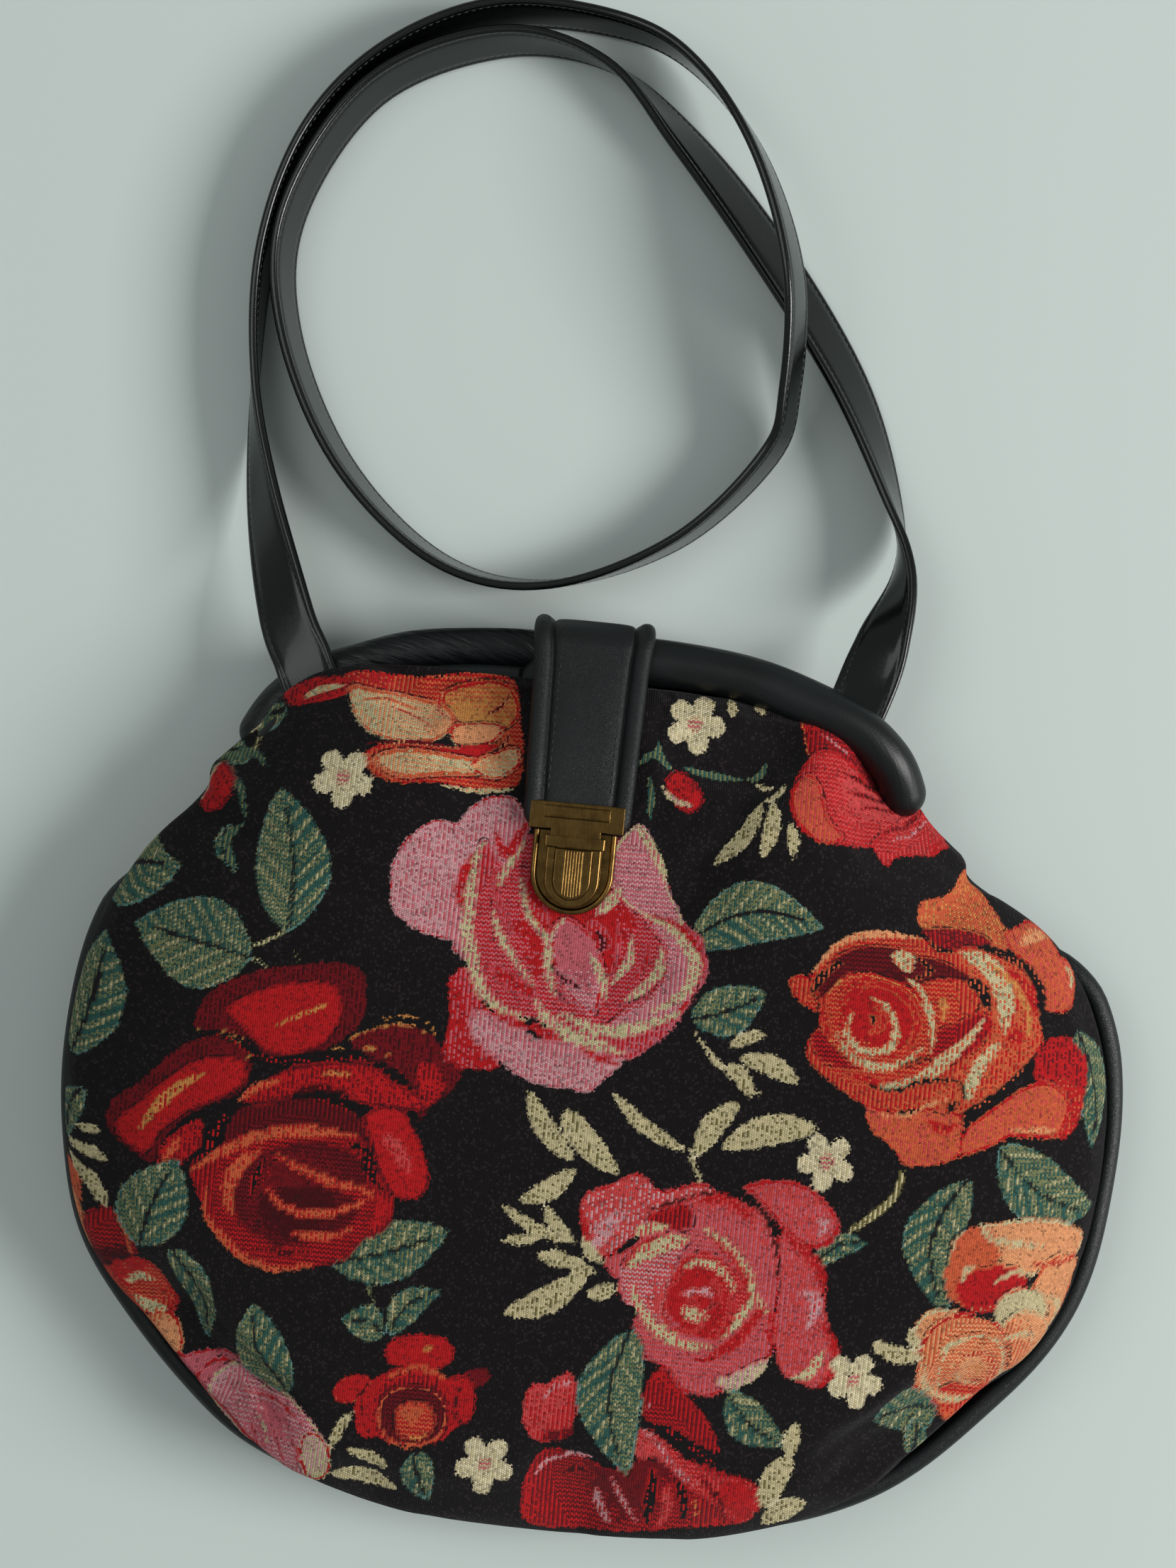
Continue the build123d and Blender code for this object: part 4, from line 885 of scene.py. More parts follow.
         ("red", "coral", "red", 3, 116, 170, 150, 150, 196, 136, 222, 162, 230, 184, 180, 188, 146, 192, 132, 204,
          118, 188)],
        strokes=[
         ("pale", 5, 46, 12, 84, 38, 124, 72, 150, 96), ("pale", 4, 40, 36, 76, 60, 112, 84),
         ("deep", 7, 64, 24, 100, 52, 140, 84), ("deep", 6, 52, 52, 96, 72, 140, 96),
         ("wine", 6, 70, 84, 110, 92, 156, 102), ("wine", 6, 82, 108, 126, 110, 170, 114),
         ("wine", 5, 100, 128, 140, 124, 180, 130), ("coral", 10, 60, 130, 90, 144, 104, 160),
         ("pale", 4, 134, 174, 164, 158, 200, 146), ("deep", 6, 124, 162, 160, 146, 196, 134)]),
)
leaves = [  # foot, tip, width and bend
    (374, 1190, 366, 1006, 96, 0.06), (128, 1150, 246, 1106, 84, -0.1), (330, 1222, 190, 1178, 118, 0.0),
    (108, 1346, 158, 1190, 72, 0.05), (874, 1198, 1050, 1182, 82, -0.16), (878, 1296, 976, 1262, 66, 0.06),
    (1263, 1456, 1392, 1540, 84, 0.12), (1228, 1494, 1200, 1672, 76, 0.18), (1366, 1310, 1384, 1460, 56, -0.1),
    (423, 1604, 576, 1562, 80, 0.04), (186, 1580, 236, 1472, 92, -0.05), (224, 1578, 258, 1710, 48, -0.1),
    (366, 1775, 328, 1652, 76, -0.1), (496, 1695, 438, 1672, 46, 0.1), (498, 1695, 567, 1638, 42, -0.15),
    (806, 1686, 800, 1872, 84, 0.14), (925, 1766, 1000, 1834, 56, 0.1), (1204, 1802, 1120, 1814, 66, 0.1),
    (1034, 1606, 1104, 1578, 34, -0.15), (534, 1838, 552, 1900, 44, 0.1), (128, 1376, 100, 1452, 36, 0.1),
    (372, 902, 308, 938, 30, 0.0), (330, 966, 256, 980, 32, 0.1), (306, 1050, 310, 1118, 22, 0.2),
    (1164, 1862, 1176, 1810, 30, 0.1),
]
buds = [
    dict(bud=(285, 1012, 22, 34, 30), rim=((262, 1040), (264, 1012), (282, 984)),
         green=[((330, 960), (300, 972), (256, 1000)), ((300, 975), (318, 1010), (322, 1050)),
                ((322, 1050), (300, 1076), (312, 1116)), ((300, 968), (330, 960), (350, 985))]),
    dict(bud=(872, 1007, 20, 30, -36), rim=((842, 996), (856, 1016), (884, 1026)),
         green=[((848, 970), (830, 960), (812, 975)), ((860, 980), (842, 964), (838, 940)),
                ((868, 974), (905, 985), (950, 992)), ((950, 992), (968, 986), (976, 970)),
                ((826, 985), (830, 1010), (828, 1045))]),
]
flowers = [(442, 994, 38, 20), (886, 921, 38, 10), (1050, 1476, 37, 30), (1086, 1751, 36, 12), (620, 1857, 37, 24)]
sprigs = [
    (734, 1477, 674, 1382, 28), (736, 1484, 662, 1526, 28), (752, 1466, 722, 1408, 26), (790, 1492, 728, 1410, 34),
    (736, 1578, 640, 1529, 17), (706, 1562, 638, 1574, 16), (736, 1580, 694, 1529, 18), (748, 1602, 684, 1591, 20),
    (752, 1614, 643, 1668, 36), (762, 1616, 704, 1584, 18), (786, 1632, 748, 1644, 22), (770, 1606, 742, 1572, 16),
    (878, 1464, 780, 1386, 20), (886, 1470, 943, 1400, 32), (918, 1459, 1042, 1434, 40), (896, 1504, 880, 1456, 8),
    (976, 1396, 880, 1306, 9), (926, 1332, 976, 1316, 18), (940, 1344, 1018, 1378, 28), (926, 1350, 958, 1397, 22),
    (972, 1024, 908, 1102, 24), (986, 1020, 969, 1096, 22), (1004, 1048, 1008, 1098, 16), (988, 1005, 960, 997, 9),
    (1004, 1000, 968, 1026, 8), (931, 888, 931, 915, 14), (960, 890, 974, 909, 12), (116, 1427, 145, 1436, 13),
    (103, 1447, 151, 1472, 15), (104, 1462, 150, 1530, 17), (1006, 1852, 1016, 1802, 22), (968, 1914, 1010, 1846, 34),
    (964, 1930, 1023, 1906, 26), (427, 1840, 455, 1790, 15), (446, 1839, 500, 1863, 17), (428, 1866, 513, 1889, 18),
    (1172, 1722, 1106, 1703, 24), (1171, 1712, 1153, 1684, 15), (900, 890, 912, 900, 8), (340, 925, 300, 942, 10),
]
stems = [
    ("olive", 12, (1146, 1484), (1132, 1524), (1074, 1568)), ("moss", 6, (472, 1628), (482, 1660), (494, 1684)),
    ("moss", 7, (326, 1208), (348, 1200), (372, 1186)), ("moss", 7, (326, 1218), (342, 1228), (356, 1238)),
    ("moss", 4, (382, 1204), (385, 1216), (388, 1230)), ("olive", 8, (350, 905), (335, 940), (328, 966)),
]
underRoses = range(20)  # a leaf in both is woven again over the roses' edges
overRoses = (10, 11, 12, 15, 16, 17, *range(19, len(leaves)))


def drawPrint(weave):
    for ink, width, *points in stems:
        weave.lay(strokeShape(points, width, 0.8), ink, "cream", 0.35, shadow=False)
    for index in underRoses:
        drawLeaf(weave, leaves[index])
    for rose in roses.values():
        drawRose(weave, rose)
    for index in overRoses:
        drawLeaf(weave, leaves[index])
    for bud in buds:
        for points in bud["green"]:
            weave.lay(strokeShape(points, 11), "teal", "moss", 0.45, shadow=False)
        weave.lay(ellipseShape(*bud["bud"]), "red", "deep", 0.2, "deep", 4)
        weave.lay(strokeShape(bud["rim"], 7), "cream", "pale", 0.3, shadow=False)
    for flower in flowers:
        drawFlower(weave, *flower)
    drawSprig(weave, sprigs)


def pointsOf(mesh):
    place = np.zeros(len(mesh.vertices) * 3)
    mesh.vertices.foreach_get("co", place)
    return place.reshape(-1, 3)


def cornersOf(mesh):
    corners = np.zeros(len(mesh.loops), dtype=np.int32)
    mesh.loops.foreach_get("vertex_index", corners)
    return corners


def panelPoints(mesh):  # each point's place, and where it lay before the panel was sewn
    uv = np.zeros(len(mesh.loops) * 2)
    mesh.uv_layers["flat"].data.foreach_get("uv", uv)
    flat = np.zeros((len(mesh.vertices), 2))
    flat[cornersOf(mesh)] = uv.reshape(-1, 2)
    return pointsOf(mesh) / mm, flat / mm


mirror = dict(shift=30, height=57)  # how the front's print is laid on the back


def weaveOnto(mesh, mirrored=False):
    place, flat = panelPoints(mesh)
    spots = np.concatenate([flat, np.abs(place[:, 2:])], axis=1)
    if mirrored:
        spots[:, 0] = -spots[:, 0] - mirror["shift"]
        spots[:, 2] = mirror["height"]
    weave = Weave(toSheet(spots))
    drawPrint(weave)
    for name in ("first", "second", "rim"):
        values = getattr(weave, name)
        values = np.concatenate([values, np.ones((len(values), 1))], axis=1)
        layer = mesh.attributes.new(name, "FLOAT_COLOR", "POINT")
        layer.data.foreach_set("color", values.astype(np.float32).ravel())
    for name in ("share", "cover", "inside", "rimWide", "below"):
        layer = mesh.attributes.new(name, "FLOAT", "POINT")
        layer.data.foreach_set("value", getattr(weave, name).astype(np.float32))


# Tapestry cloth: threads, the black ground and the print's stepped edges

cloth = dict(
    thread=0.00076, ground=(21, 17, 19), fleck=(86, 72, 80), relief=0.00032, steps=5.0, ragged=2.0, fleckTone=0.16,
    order=(0.16, 0.6, 0.2), widestRim=30.0, shadow=3.4, shadowTone=0.82, dark=0.55, round=1.2, sheen=0.04,
    # tone: least and thread give painted shade, each thread darker at its edges and lightest along its middle; chance
    # and row are random thread tone
    tone=dict(least=0.66, thread=0.34, chance=0.3, row=0.1),
)

tapestry = Finish("tapestry", Roughness=0.9, Specular_IOR_Level=0.1, Sheen_Weight=cloth["sheen"], Sheen_Roughness=0.5)


def chanceOf(dimensions, **at):
    return tapestry.add("ShaderNodeTexWhiteNoise", dict(noise_dimensions=dimensions), **at)


acrossCloth, downCloth, _ = tapestry.split(tapestry.add("ShaderNodeTexCoord", out=2))
column = (acrossCloth / cloth["thread"]).floor()
shifted = downCloth / cloth["thread"] + (column * 0.5).part()
row = shifted.floor()
chance = chanceOf("2D", Vector=tapestry.add("ShaderNodeCombineXYZ", None, column, row, 0.0))
shade = chanceOf("2D", Vector=tapestry.add("ShaderNodeCombineXYZ", None, column + 31.0, row + 57.0, 0.0))
weftLine = chanceOf("1D", W=row)
share, first, second, rimInk = [tapestry.stored(name, out) for name, out in
                                (("share", 2), ("first", 0), ("second", 0), ("rim", 0))]
oddColumn, oddRow = (column * 0.5).part() * 2.0, (row * 0.5).part() * 2.0
lying = share > 0.5
fewest, ordered, random = cloth["order"]
threshold = fewest + ordered * (oddColumn * (1 - lying) + oddRow * lying) + chance * random
cover = tapestry.stored("cover") + (chance - 0.5) * cloth["steps"]
inside = tapestry.stored("inside") + (shade - 0.5) * cloth["ragged"]
onRim = (inside < tapestry.stored("rimWide")) * (inside < cloth["widestRim"])
black = linear(cloth["ground"])
ground = tapestry.blend((chance > 0.86) * cloth["fleckTone"], black, linear(cloth["fleck"]))
dyed = tapestry.blend(threshold < share, first, second)
rimmed = tapestry.blend(onRim * (shade > 0.12), dyed, rimInk)
woven = tapestry.blend(cover > 0.0, ground, rimmed)
shadowed = (tapestry.stored("below") < cloth["shadow"]) * (shade > 0.35) * cloth["shadowTone"]
dark = tapestry.blend((shade > 0.93) * cloth["dark"], tapestry.blend(shadowed, woven, black), black)
downThread = 1 - ((shifted.part() - 0.5) * 2.0).size()
threadRound = downThread * (1 - ((acrossCloth / cloth["thread"]).part() - 0.5).size() * cloth["round"])
tone = cloth["tone"]
# painted shade: the colour is darkened across each thread's rounded profile (threadRound), and also varied at random
# per thread and per row
light = tone["least"] + threadRound * tone["thread"] + (shade - 0.5) * tone["chance"] + (weftLine - 0.5) * tone["row"]
tapestry.feed("Base Color", tapestry.shade(dark, light))
tapestry.feed("Normal", tapestry.bump(threadRound.smooth(0.0, 0.8) + shade * 0.4, cloth["relief"], 0.8))
print("tapestry")


settling = dict(quality=5, mass=0.25, shrink=-0.03, stretch=15, bend=0.6, frames=20)


def fillCloth(panel, pinned, pressure, cap):  # the panel settles under the air inside it
    before = pointsOf(panel.data)
    group = panel.vertex_groups.new(name="sewn")
    for index, hold in enumerate(pinned):
        if hold > 0:
            group.add([index], float(hold), "REPLACE")
    modifier = panel.modifiers.new("settle", "CLOTH")
    settings = modifier.settings
    settings.quality = settling["quality"]
    settings.mass = settling["mass"]
    settings.vertex_group_mass = "sewn"
    settings.use_pressure = True
    settings.uniform_pressure_force = pressure
    settings.effector_weights.gravity = 0
    settings.shrink_min = settling["shrink"]
    settings.tension_stiffness = settings.compression_stiffness = settling["stretch"]
    settings.bending_stiffness = settling["bend"]
    modifier.collision_settings.use_collision = False
    modifier.point_cache.frame_start, modifier.point_cache.frame_end = 1, settling["frames"]
    for step in range(1, settling["frames"] + 1):
        bpy.context.scene.frame_set(step)
    settled = panel.evaluated_get(bpy.context.evaluated_depsgraph_get())
    after = pointsOf(settled.data)
    panel.modifiers.remove(modifier)
    bpy.context.scene.frame_set(1)
    moved = after - before
    length = np.linalg.norm(moved, axis=1, keepdims=True)
    moved *= np.minimum(1, cap / np.maximum(length, 1e-9))
    panel.data.vertices.foreach_set("co", (before + moved).ravel())
    panel.data.update()
    print("settled", panel.name, round(float(length.max()) / mm, 2), "mm")


def refine(piece, levels):  # leaves the piece with its finer mesh
    modifier = piece.modifiers.new("finer", "SUBSURF")
    modifier.levels = modifier.render_levels = levels
    fine = bpy.data.meshes.new_from_object(piece.evaluated_get(bpy.context.evaluated_depsgraph_get()))
    piece.modifiers.remove(modifier)
    old, name = piece.data, piece.data.name
    piece.data = fine
    bpy.data.meshes.remove(old)
    fine.name = name
    fine.polygons.foreach_set("use_smooth", [True] * len(fine.polygons))


def sewPanel(name, points, flat, faces, rim, hem, finish, replaced):
    points, flat = [np.asarray(a, float) for a in (points, flat)]
    inward = np.array(shell["centre"]) - points[rim, :2]
    inward /= np.linalg.norm(inward, axis=1, keepdims=True)
    start = len(points)
    for tucked, raised, along in hem:
        turned = points[rim].copy()
        turned[:, :2] += inward * tucked
        turned[:, 2] += raised
        points = np.concatenate([points, turned])
        flat = np.concatenate([flat, flat[rim] - inward * along])
    rings = [list(rim)] + [list(range(start + k * len(rim), start + (k + 1) * len(rim))) for k in range(len(hem))]
    for low, high in zip(rings, rings[1:]):
        for j in range(len(rim)):
            k = (j + 1) % len(rim)
            faces.append((low[k], low[j], high[j], high[k]))
    piece = buildMesh(name, points * mm, faces, finish, replaced, uv=flat * mm)
    return piece, [index for ring in rings for index in ring]


# Front of the body

front = dict(
    seamInset=9.4, insets=[0, -0.8, 4.6, 22.6, 50.6, 86.6, 173.6], heights=[22.5, 31.5, 40.4, 48, 53.9, 57, 57],
    sags=[0, 2, 8, 12, 10, 0, 0], mouthInsets=[0, 5, 12, 30, 55, 86.6, 173.6],
    mouthRises=[0, 0.3, 0.5, 0.75, 0.92, 0.99, 1], top=57.0, bulge=5.0, hem=[(0.5, -1.6, 1.4), (3.0, -3.2, 4.4)],
    lockSeat=(-14.0, 81.0, 26.0, 24.0), lockHold=(2.4, 1.6), pressure=2.2, cap=0.005,
)
edge, weight = edgeCurve(front["seamInset"], frontEdge, edgeHeights, front["heights"][0])
points, flat, faces, rim = panelSurface(
    edge, weight, front["insets"], front["heights"], front["sags"], front["mouthInsets"], front["mouthRises"],
    shell["cells"], front["top"], front["bulge"])
frontPanel, sewn = sewPanel("frontCloth", points, flat, faces, rim, front["hem"], tapestry,
                            ["front_panel"])
hold = np.zeros(len(frontPanel.data.vertices))
hold[sewn] = 1
seatX, seatY, seatAcross, seatAlong = front["lockSeat"]
seated = np.hypot((points[:, 0] - seatX) / seatAcross, (points[:, 1] - seatY) / seatAlong)
firmest, fading = front["lockHold"]
hold[:len(points)] = np.maximum(hold[:len(points)], np.clip(firmest - fading * seated, 0, 1))
fillCloth(frontPanel, hold, front["pressure"], front["cap"])
refine(frontPanel, shell["refine"])
weaveOnto(frontPanel.data)
print("front panel")

# Back of the body

back = dict(
    seamInset=9.4, insets=[0, -0.8, 3.6, 15.6, 34.6, 80, 173.6], heights=[21.5, 15, 8.2, 3, 0.05, 0.05, 0.05],
    sags=[0] * 7, mouthInsets=[0, 5, 12, 30, 55, 86.6, 173.6], mouthRises=[0, 0.2, 0.45, 0.8, 1, 1, 1],
    top=0.05, hem=[(0.5, 1.6, 1.4), (3.0, 3.2, 4.4)], cells=52,
)
backHeights = [(0.0, 20.0), (0.2, 18.6), (0.4, 17.7), (0.6, 17.7), (0.8, 18.6), (1.0, 20.0)]


def backRise(points):  # how the back lifts off the floor towards the mouth
    return (points[:, 1] - shell["backSlopeStart"]) * math.tan(math.radians(shell["backSlope"]))


edge, weight = edgeCurve(back["seamInset"], frontEdge, backHeights, back["heights"][0])
points, flat, faces, rim = panelSurface(
    edge, weight, back["insets"], back["heights"], back["sags"], back["mouthInsets"], back["mouthRises"],
    back["cells"], back["top"])
points[:, 2] = np.maximum(points[:, 2], backRise(points))
faces = [face[::-1] for face in faces]
backPanel, sewn = sewPanel("backCloth", points, flat, faces, rim, back["hem"], tapestry, ["back_panel"])
refine(backPanel, shell["refine"])
weaveOnto(backPanel.data, mirrored=True)
print("back panel")

# Lining: a pouch inside both panels

lining = dict(
    seamInset=13.0, seam=22.5, cells=30, tucked=6.0, below=3, above=2.5, inside=3,
    frontHeights=[22.6, 29.0, 36.4, 44, 50.0, 53, 53], backHeights=[22.4, 17, 11.8, 6.6, 3.4, 3.2, 3.2],
    insets=[0, 0.4, 6.0, 24, 50.6, 86.6, 169.6], backInsets=[0, 0.4, 5.0, 17, 36, 80, 169.6],
    dark=(58, 50, 46), light=(74, 66, 60), threads=9000.0, relief=0.00006,
)
liningCloth = Finish("liningCloth", Specular_IOR_Level=0.25)
liningPlace = liningCloth.add("ShaderNodeTexCoord", out=3)
liningX, liningY, liningZ = liningCloth.split(liningPlace)
liningThreads = (liningX * lining["threads"]).sine() * 0.5 + ((liningY + liningZ) * lining["threads"]).sine() * 0.5
liningTone = liningCloth.noise(liningPlace, 40.0, 3.0)
liningColour = liningCloth.blend(liningTone.smooth(0.3, 0.7), linear(lining["dark"]), linear(lining["light"]))
liningCloth.feed("Base Color", liningColour)
liningCloth.feed("Roughness", 0.8 + (liningTone - 0.5) * 0.2)
liningCloth.feed("Normal", liningCloth.bump(liningThreads, lining["relief"]))

tuckedEdge = [(x, y - lining["tucked"]) for x, y in frontEdge]
halves = []
for heights, insets, level, rises, flip in (
        (lining["frontHeights"], lining["insets"], [(s, z - lining["below"]) for s, z in edgeHeights],
         front["mouthRises"], False),
        (lining["backHeights"], lining["backInsets"], [(s, z + lining["above"]) for s, z in backHeights],
         back["mouthRises"], True)):
    edge, weight = edgeCurve(lining["seamInset"], tuckedEdge, level, lining["seam"])
    points, flat, faces, rim = panelSurface(edge, weight, insets, heights, [0] * 7, front["mouthInsets"], rises,
                                            lining["cells"], heights[-1])
    if flip:
        points[:, 2] = np.maximum(points[:, 2], backRise(points) + lining["inside"])
    halves.append((points, [face if flip else face[::-1] for face in faces]))
shift = len(halves[0][0])
pouch = buildMesh("liningPouch", np.concatenate([halves[0][0], halves[1][0]]) * mm,
                  halves[0][1] + [tuple(k + shift for k in face) for face in halves[1][1]],
                  liningCloth, ["lining"])
refine(pouch, 1)
print("lining")

# Piping along the seam

piping = dict(radius=4.0, height=22.0, topY=74.0, tuck=7.0, taper=22.0, towards=14.0)
ring = insetOutline(piping["radius"])
below = ring[:, 1] < piping["topY"]
firstHigh = int(np.argmin(below))
lastHigh = len(ring) - int(np.argmin(below[::-1]))
seamRoute = np.concatenate([ring[lastHigh:], ring[:firstHigh]])[::2]
seamRoute = np.concatenate([seamRoute, np.full((len(seamRoute), 1), piping["height"])], axis=1)
seamRun = travelled(seamRoute)
hidden = np.clip(1 - np.minimum(seamRun, seamRun[-1] - seamRun) / piping["taper"], 0, 1)[:, None] ** 1.5
towards = np.array([*shell["centre"], piping["towards"]]) - seamRoute
seamRoute += towards / np.linalg.norm(towards, axis=1, keepdims=True) * hidden * piping["tuck"]
sidePiping = tubeMesh(seamRoute, piping["radius"], "sidePiping", trimLeather, ["side_piping"],
                      sides=20, swell=roundedEnds(piping["radius"], 0.35, 5, 70.0, piping["taper"]))
print("piping")

# Padded rims along the mouth

rims = dict(
    radius=8.0, coreRadius=6.3, swelling=45.0, reach=155.0, halfSpan=114.2, endY=112.4, lean=15.0,
    front=dict(middle=41.5, end=30.3), back=dict(middle=19.5, end=13.7), tucked=(-13.5, -9.0), tuckOver=18.0,
)
mouthShape = [(0.0, 0.0, 0.0), (0.41, 0.033, 0.0), (0.75, 0.29, 0.0), (0.91, 0.58, 0.25), (1.0, 1.0, 1.0)]


def rimRoute(middle, end):
    fall = rims["reach"] - rims["endY"]
    half = [(out * rims["halfSpan"], rims["reach"] - down * fall, middle + change * (end - middle))
            for out, down, change in mouthShape]
    whole = [(-x, y, z) for x, y, z in half[:0:-1]] + half
    return roundRoute([(x - rims["lean"], y, z) for x, y, z in whole], 22)


frontRoute = rimRoute(**rims["front"])
tuckShare = np.clip((-rims["tuckOver"] - frontRoute[:, 0]) / rims["tuckOver"], 0, 1)
tuckShare = tuckShare**2 * (3 - 2 * tuckShare)
frontRoute[:, 1] += rims["tucked"][0] * tuckShare
frontRoute[:, 2] += rims["tucked"][1] * tuckShare
backRoute = rimRoute(**rims["back"])
for name, route, leatherOn, node, depth, seed in (
        ("frontRim", frontRoute, smoothRimLeather, "front_rim", 0.5, 11),
        ("backRim", backRoute, rimLeather, "back_rim", 0.6, 23)):
    rimPiece = tubeMesh(route, rims["radius"], name, leatherOn, [node], sides=32,
                        swell=roundedEnds(rims["radius"], depth, seed, rims["swelling"]))
for name, route, node in (("frontRimCore", frontRoute, "front_rim_core"), ("backRimCore", backRoute, "back_rim_core")):
    tubeMesh(route[2:-2], rims["coreRadius"], name, paddingFinish, [node], sides=12,
             swell=roundedEnds(rims["coreRadius"], 0.0, 1, rims["swelling"]))
print("rims")

# Closing tab: from the back, round both rims, to the lock

tab = dict(
    middle=-14.0, halfWide=19.6, halfEnd=18.0, widening=60, wrap=10.2, wall=165.2, thick=1.5, roll=2.6, groove=6.6,
    centreY=155.0, backZ=19.5, frontZ=41.5, shoulder=dict(out=1.0, y=163.0, over=6.0), corner=5.0,
    lift=(0.35, 0.3, 0.11),
    under=[(106.0, 4.46), (120.0, 5.85), (136.0, 7.4), (148.0, 8.6)],
    over=[(152.0, 52.6), (145.0, 54.0), (138.0, 55.5), (131.0, 57.0), (124.1, 58.4), (118.3, 59.4), (111.8, 59.7),
          (106.0, 59.7), (100.0, 59.7), (95.9, 59.7)],
    stitches=dict(inside=0.9, sunk=0.1, pitch=2.9, length=2.0, width=0.55, fromHeight=8.0, ending=6),
)


def arcPoints(y, z, radius, start, stop, count):
    return [(y + radius * math.cos(a), z + radius * math.sin(a)) for a in np.radians(np.linspace(start, stop, count))]


tabLine = tab["under"] + arcPoints(tab["centreY"], tab["backZ"], tab["wrap"], -84, 0, 12)
tabLine += [(tab["wall"], z) for z in (25.0, 30.5, 36.0)]
tabLine += arcPoints(tab["centreY"], tab["frontZ"], tab["wrap"], 0, 76, 12) + tab["over"]
tabLine = np.array(tabLine)
tabRoute = roundRoute(np.stack([np.full(len(tabLine), tab["middle"]), tabLine[:, 0], tabLine[:, 1]], axis=1), 3)
tabAhead = headings(tabRoute)
tabOut = np.cross(tabAhead, (1.0, 0, 0))
tabRun = travelled(tabRoute)


def tabSection(half, lift):
    t, roll = tab["thick"], tab["roll"]
    inner = half - tab["groove"]
    side = [(half, 0.0), (half - 0.1, 0.8), (half - 0.7, t * 0.6 + roll * 0.4), (half - 1.8, t + roll * 0.44),
            (half - 3.0, t + roll * 0.5), (half - 4.4, t + roll * 0.4), (half - 5.5, t + roll * 0.1),
            (half - 6.1, t - 0.7), (half - 6.5, t - 1.1), (inner - 0.2, t - 0.9), (inner - 0.9, t - 0.2),
            (inner - 2.2, t + 0.1), (inner - 5.0, t + lift), (inner * 0.4, t + lift * 1.2)]
    top = side + [(0.0, t + lift * 1.25)] + [(-x, y) for x, y in side[::-1]]
    under = [(-half + 0.3, -0.9), (-half + 1.2, -t), (-half * 0.5, -t), (0, -t), (half * 0.5, -t), (half - 1.2, -t),
             (half - 0.3, -0.9)]
    return top + under


sections = []
shoulder, (least, wave, often) = tab["shoulder"], tab["lift"]
for run, (x, y, z) in zip(tabRun, tabRoute):
    toEnd = tabRun[-1] - run
    half = tab["halfEnd"] + (tab["halfWide"] - tab["halfEnd"]) * min(1, toEnd / tab["widening"])
    half += shoulder["out"] * math.exp(-((y - shoulder["y"]) / shoulder["over"]) ** 2) * (z > 30)
    cut = max(0, 1 - min(toEnd, run) / tab["corner"])
    half -= tab["corner"] * (1 - math.sqrt(max(0, 1 - cut**2)))
    sections.append(tabSection(half, least + wave * math.sin(run * often)))
tabSide = np.tile((1.0, 0, 0), (len(tabRoute), 1))
closureTab = sweepMesh(tabRoute, tabSide, tabOut, np.array(sections), "closureTab", tabLeather,
                       ["closure_tab"])
refine(closureTab, 1)
print("tab")


def stitchRow(route, sideways, upwards, offset, lift, pitch, length, width):  # short raised threads
    run = travelled(route)
    places = np.arange(pitch, run[-1] - pitch, pitch)
    line = route + sideways * offset + upwards * lift
    points, faces = [], []

    def at(place, rows):
        return np.array([np.interp(place, run, rows[:, k]) for k in range(3)])

    for place in places:
        a, b = [at(place + s, line) for s in (-length / 2, length / 2)]
        side, up = at(place, sideways), at(place, upwards)
        rise, sunk = up * width * 0.7, up * 0.3
        base = len(points)
        for end, full in ((a, 0.0), (a * 0.7 + b * 0.3, 1.0), (a * 0.3 + b * 0.7, 1.0), (b, 0.0)):
            out = side * width / 2 * (0.6 + 0.4 * full)
            points += [end - out - sunk, end + rise * full, end + out - sunk]
        for k in range(base, base + 9, 3):
            faces += [(k, k + 1, k + 4, k + 3), (k + 1, k + 2, k + 5, k + 4)]
    return points, faces


def sewRows(name, rows):
    points, faces = [], []
    for row in rows:
        more, shapes = stitchRow(*row)
        faces += [tuple(k + len(points) for k in shape) for shape in shapes]
        points += more
    return buildMesh(name, np.array(points) * mm, faces, threadFinish)


stitches = tab["stitches"]
seen = slice(int(np.argmax(tabRoute[:, 2] > stitches["fromHeight"])), len(tabRoute) - stitches["ending"])
rows = [(tabRoute[seen], tabSide[seen], tabOut[seen], side * (tab["halfEnd"] - tab["groove"] - stitches["inside"]),
         tab["thick"] - stitches["sunk"], stitches["pitch"], stitches["length"], stitches["width"])
        for side in (-1, 1)]
sewRows("tabStitches", rows)

# Shoulder strap

strap = dict(width=20.5, thick=3.0, edge=0.9, groove=7.9, pitch=2.6, stitch=1.75, thread=0.5, sunk=0.3)
strapRoute = [
    (-108, 134, 29.3, 5), (-113, 145, 28.8, 7), (-121, 161, 24.5, 20), (-134, 202, 14.5, 56),
    (-141, 244, 10.8, 86), (-141, 288, 10.6, 99), (-129, 329, 10.6, 104), (-104, 359, 10.6, 106),
    (-67, 377, 10.6, 105), (-23, 376, 12.0, 97), (4, 362, 18.0, 87), (27, 332, 28.0, 76),
    (42, 293, 31.0, 70), (45, 255, 22.0, 71), (40, 231, 13.5, 75), (11, 199, 10.7, 83),
    (-32, 180, 10.6, 95), (-71, 185, 10.6, 102), (-108, 216, 10.6, 105), (-131, 261, 10.6, 105),
    (-133, 302, 10.6, 107), (-109, 346, 10.6, 108), (-67, 367, 10.6, 106), (-29, 363, 10.6, 84),
    (1, 339, 9.5, 54), (35, 302, 8.3, 42), (66, 260, 9.0, 48), (84, 222, 11.2, 70),
    (90, 197, 17.0, 100), (85, 171, 25.0, 146), (80, 153, 29.1, 178), (74, 135, 29.6, 184),
]
stations = roundRoute(strapRoute, 10)
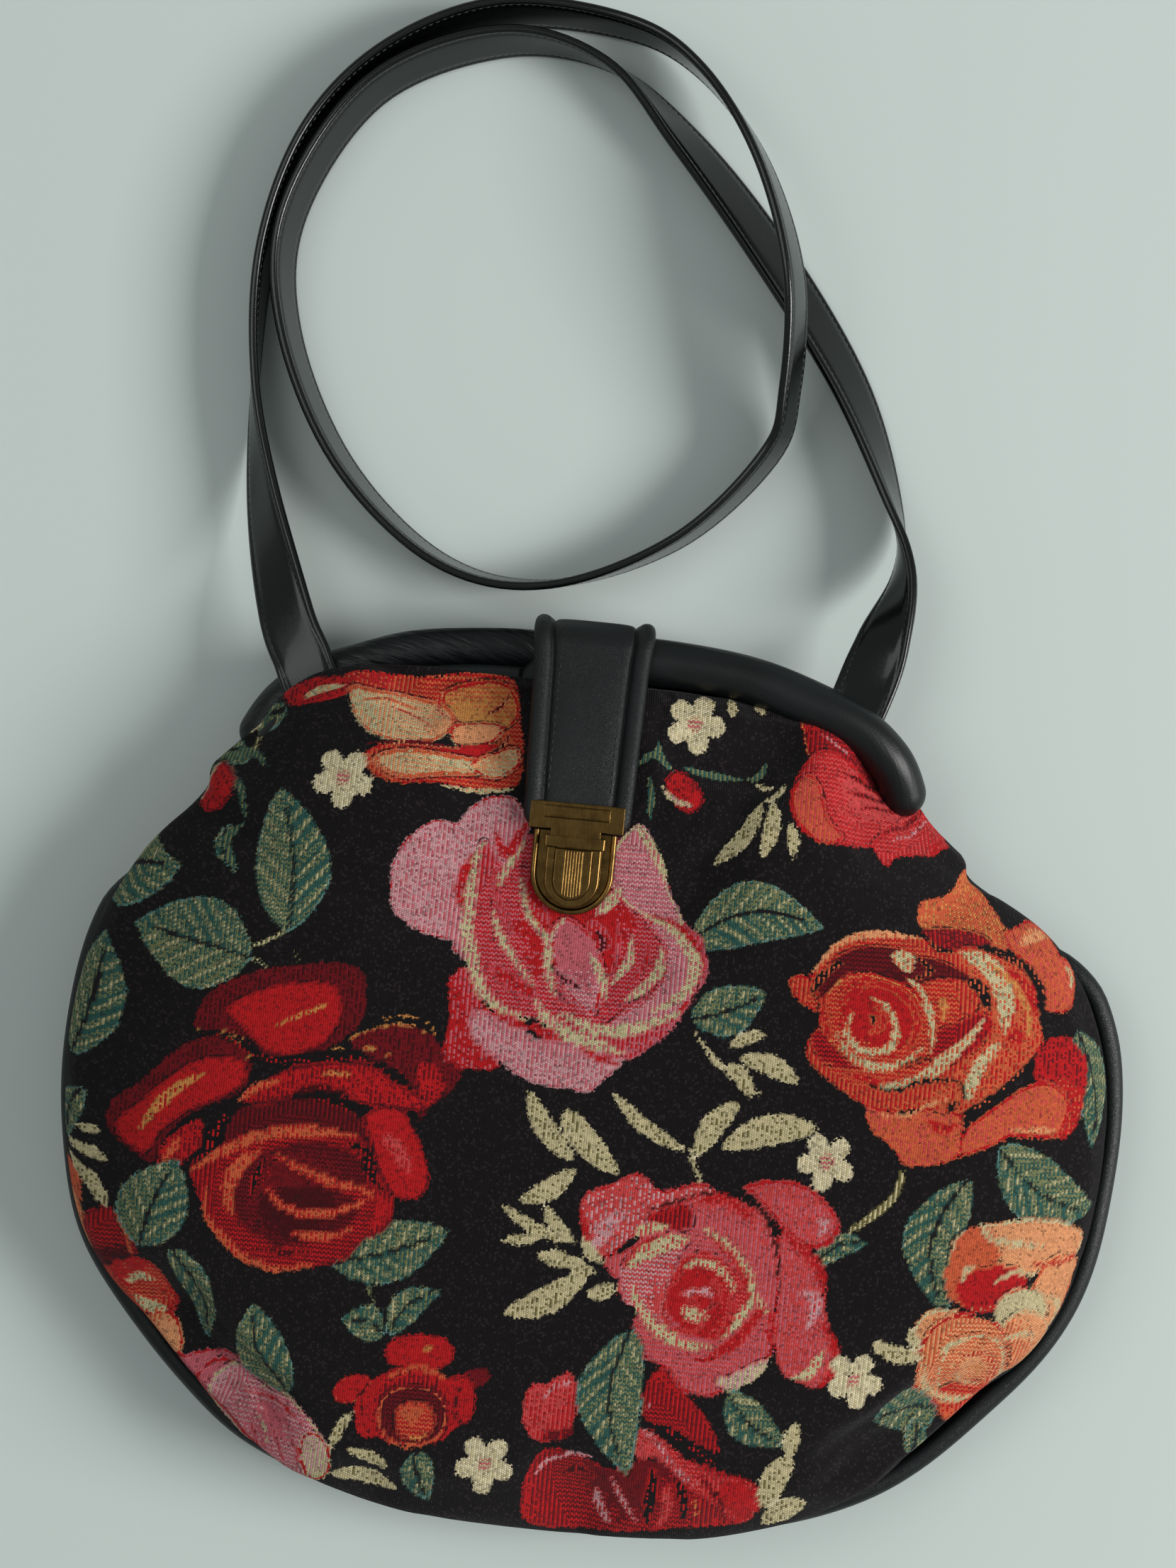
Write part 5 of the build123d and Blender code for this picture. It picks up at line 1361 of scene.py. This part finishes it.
strapLine, strapTurn = stations[:, :3], np.radians(stations[:, 3:])
strapAhead = headings(strapLine)
strapRight = np.stack([strapAhead[:, 1], -strapAhead[:, 0], np.zeros(len(strapLine))], axis=1)
strapRight /= np.linalg.norm(strapRight, axis=1, keepdims=True)
strapUp = np.cross(strapRight, strapAhead)
strapSide = strapRight * np.cos(strapTurn) + strapUp * np.sin(strapTurn)
strapFace = np.cross(strapAhead, strapSide)
wide, thick, edge, groove = strap["width"] / 2, strap["thick"] / 2, strap["edge"], strap["groove"]
quarter = [(wide, 0.0), (wide - 0.08, thick * 0.45), (wide - edge * 0.45, thick * 0.84),
           (wide - edge * 1.3, thick * 0.99), (groove + 0.55, thick * 0.98), (groove, thick - 0.32),
           (groove - 0.55, thick * 0.97), (groove - 2.2, thick), (groove * 0.4, thick * 1.02)]
faceUp = quarter + [(-x, y) for x, y in quarter[::-1]]
section = faceUp + [(-x, -y) for x, y in faceUp[1:-1]]
strapSections = np.tile(np.array(section)[None], (len(strapLine), 1, 1))
shoulderStrap = sweepMesh(strapLine, strapSide, strapFace, strapSections, "shoulderStrap", strapLeather,
                          ["shoulder_strap"])
rows = [(strapLine, strapSide, strapFace * face, side * groove, thick - strap["sunk"], strap["pitch"],
         strap["stitch"], strap["thread"]) for face in (-1, 1) for side in (-1, 1)]
sewRows("strapStitches", rows)
print("strap")

# Lock

for node in ("lock_tongue", "tongue_backing", "tongue_screws", "lock_base", "lock_washer", "lock_button"):
    bpy.data.objects[node].data.materials[0] = antiqueBrass.material
bpy.data.objects["button_spring"].data.materials[0] = springSteel.material
print("lock")

# Floor

floor = dict(reach=6.0, colour=(187, 196, 193))
floorFinish = Finish("floorPaper", Specular_IOR_Level=0.2, Roughness=0.7, Base_Color=(*linear(floor["colour"]), 1))
floorCorners = [(x * floor["reach"], y * floor["reach"], 0) for x, y in ((-1, -1), (1, -1), (1, 1), (-1, 1))]
buildMesh("floor", floorCorners, [(0, 1, 2, 3)], floorFinish, body=None, smooth=False)
print("floor")
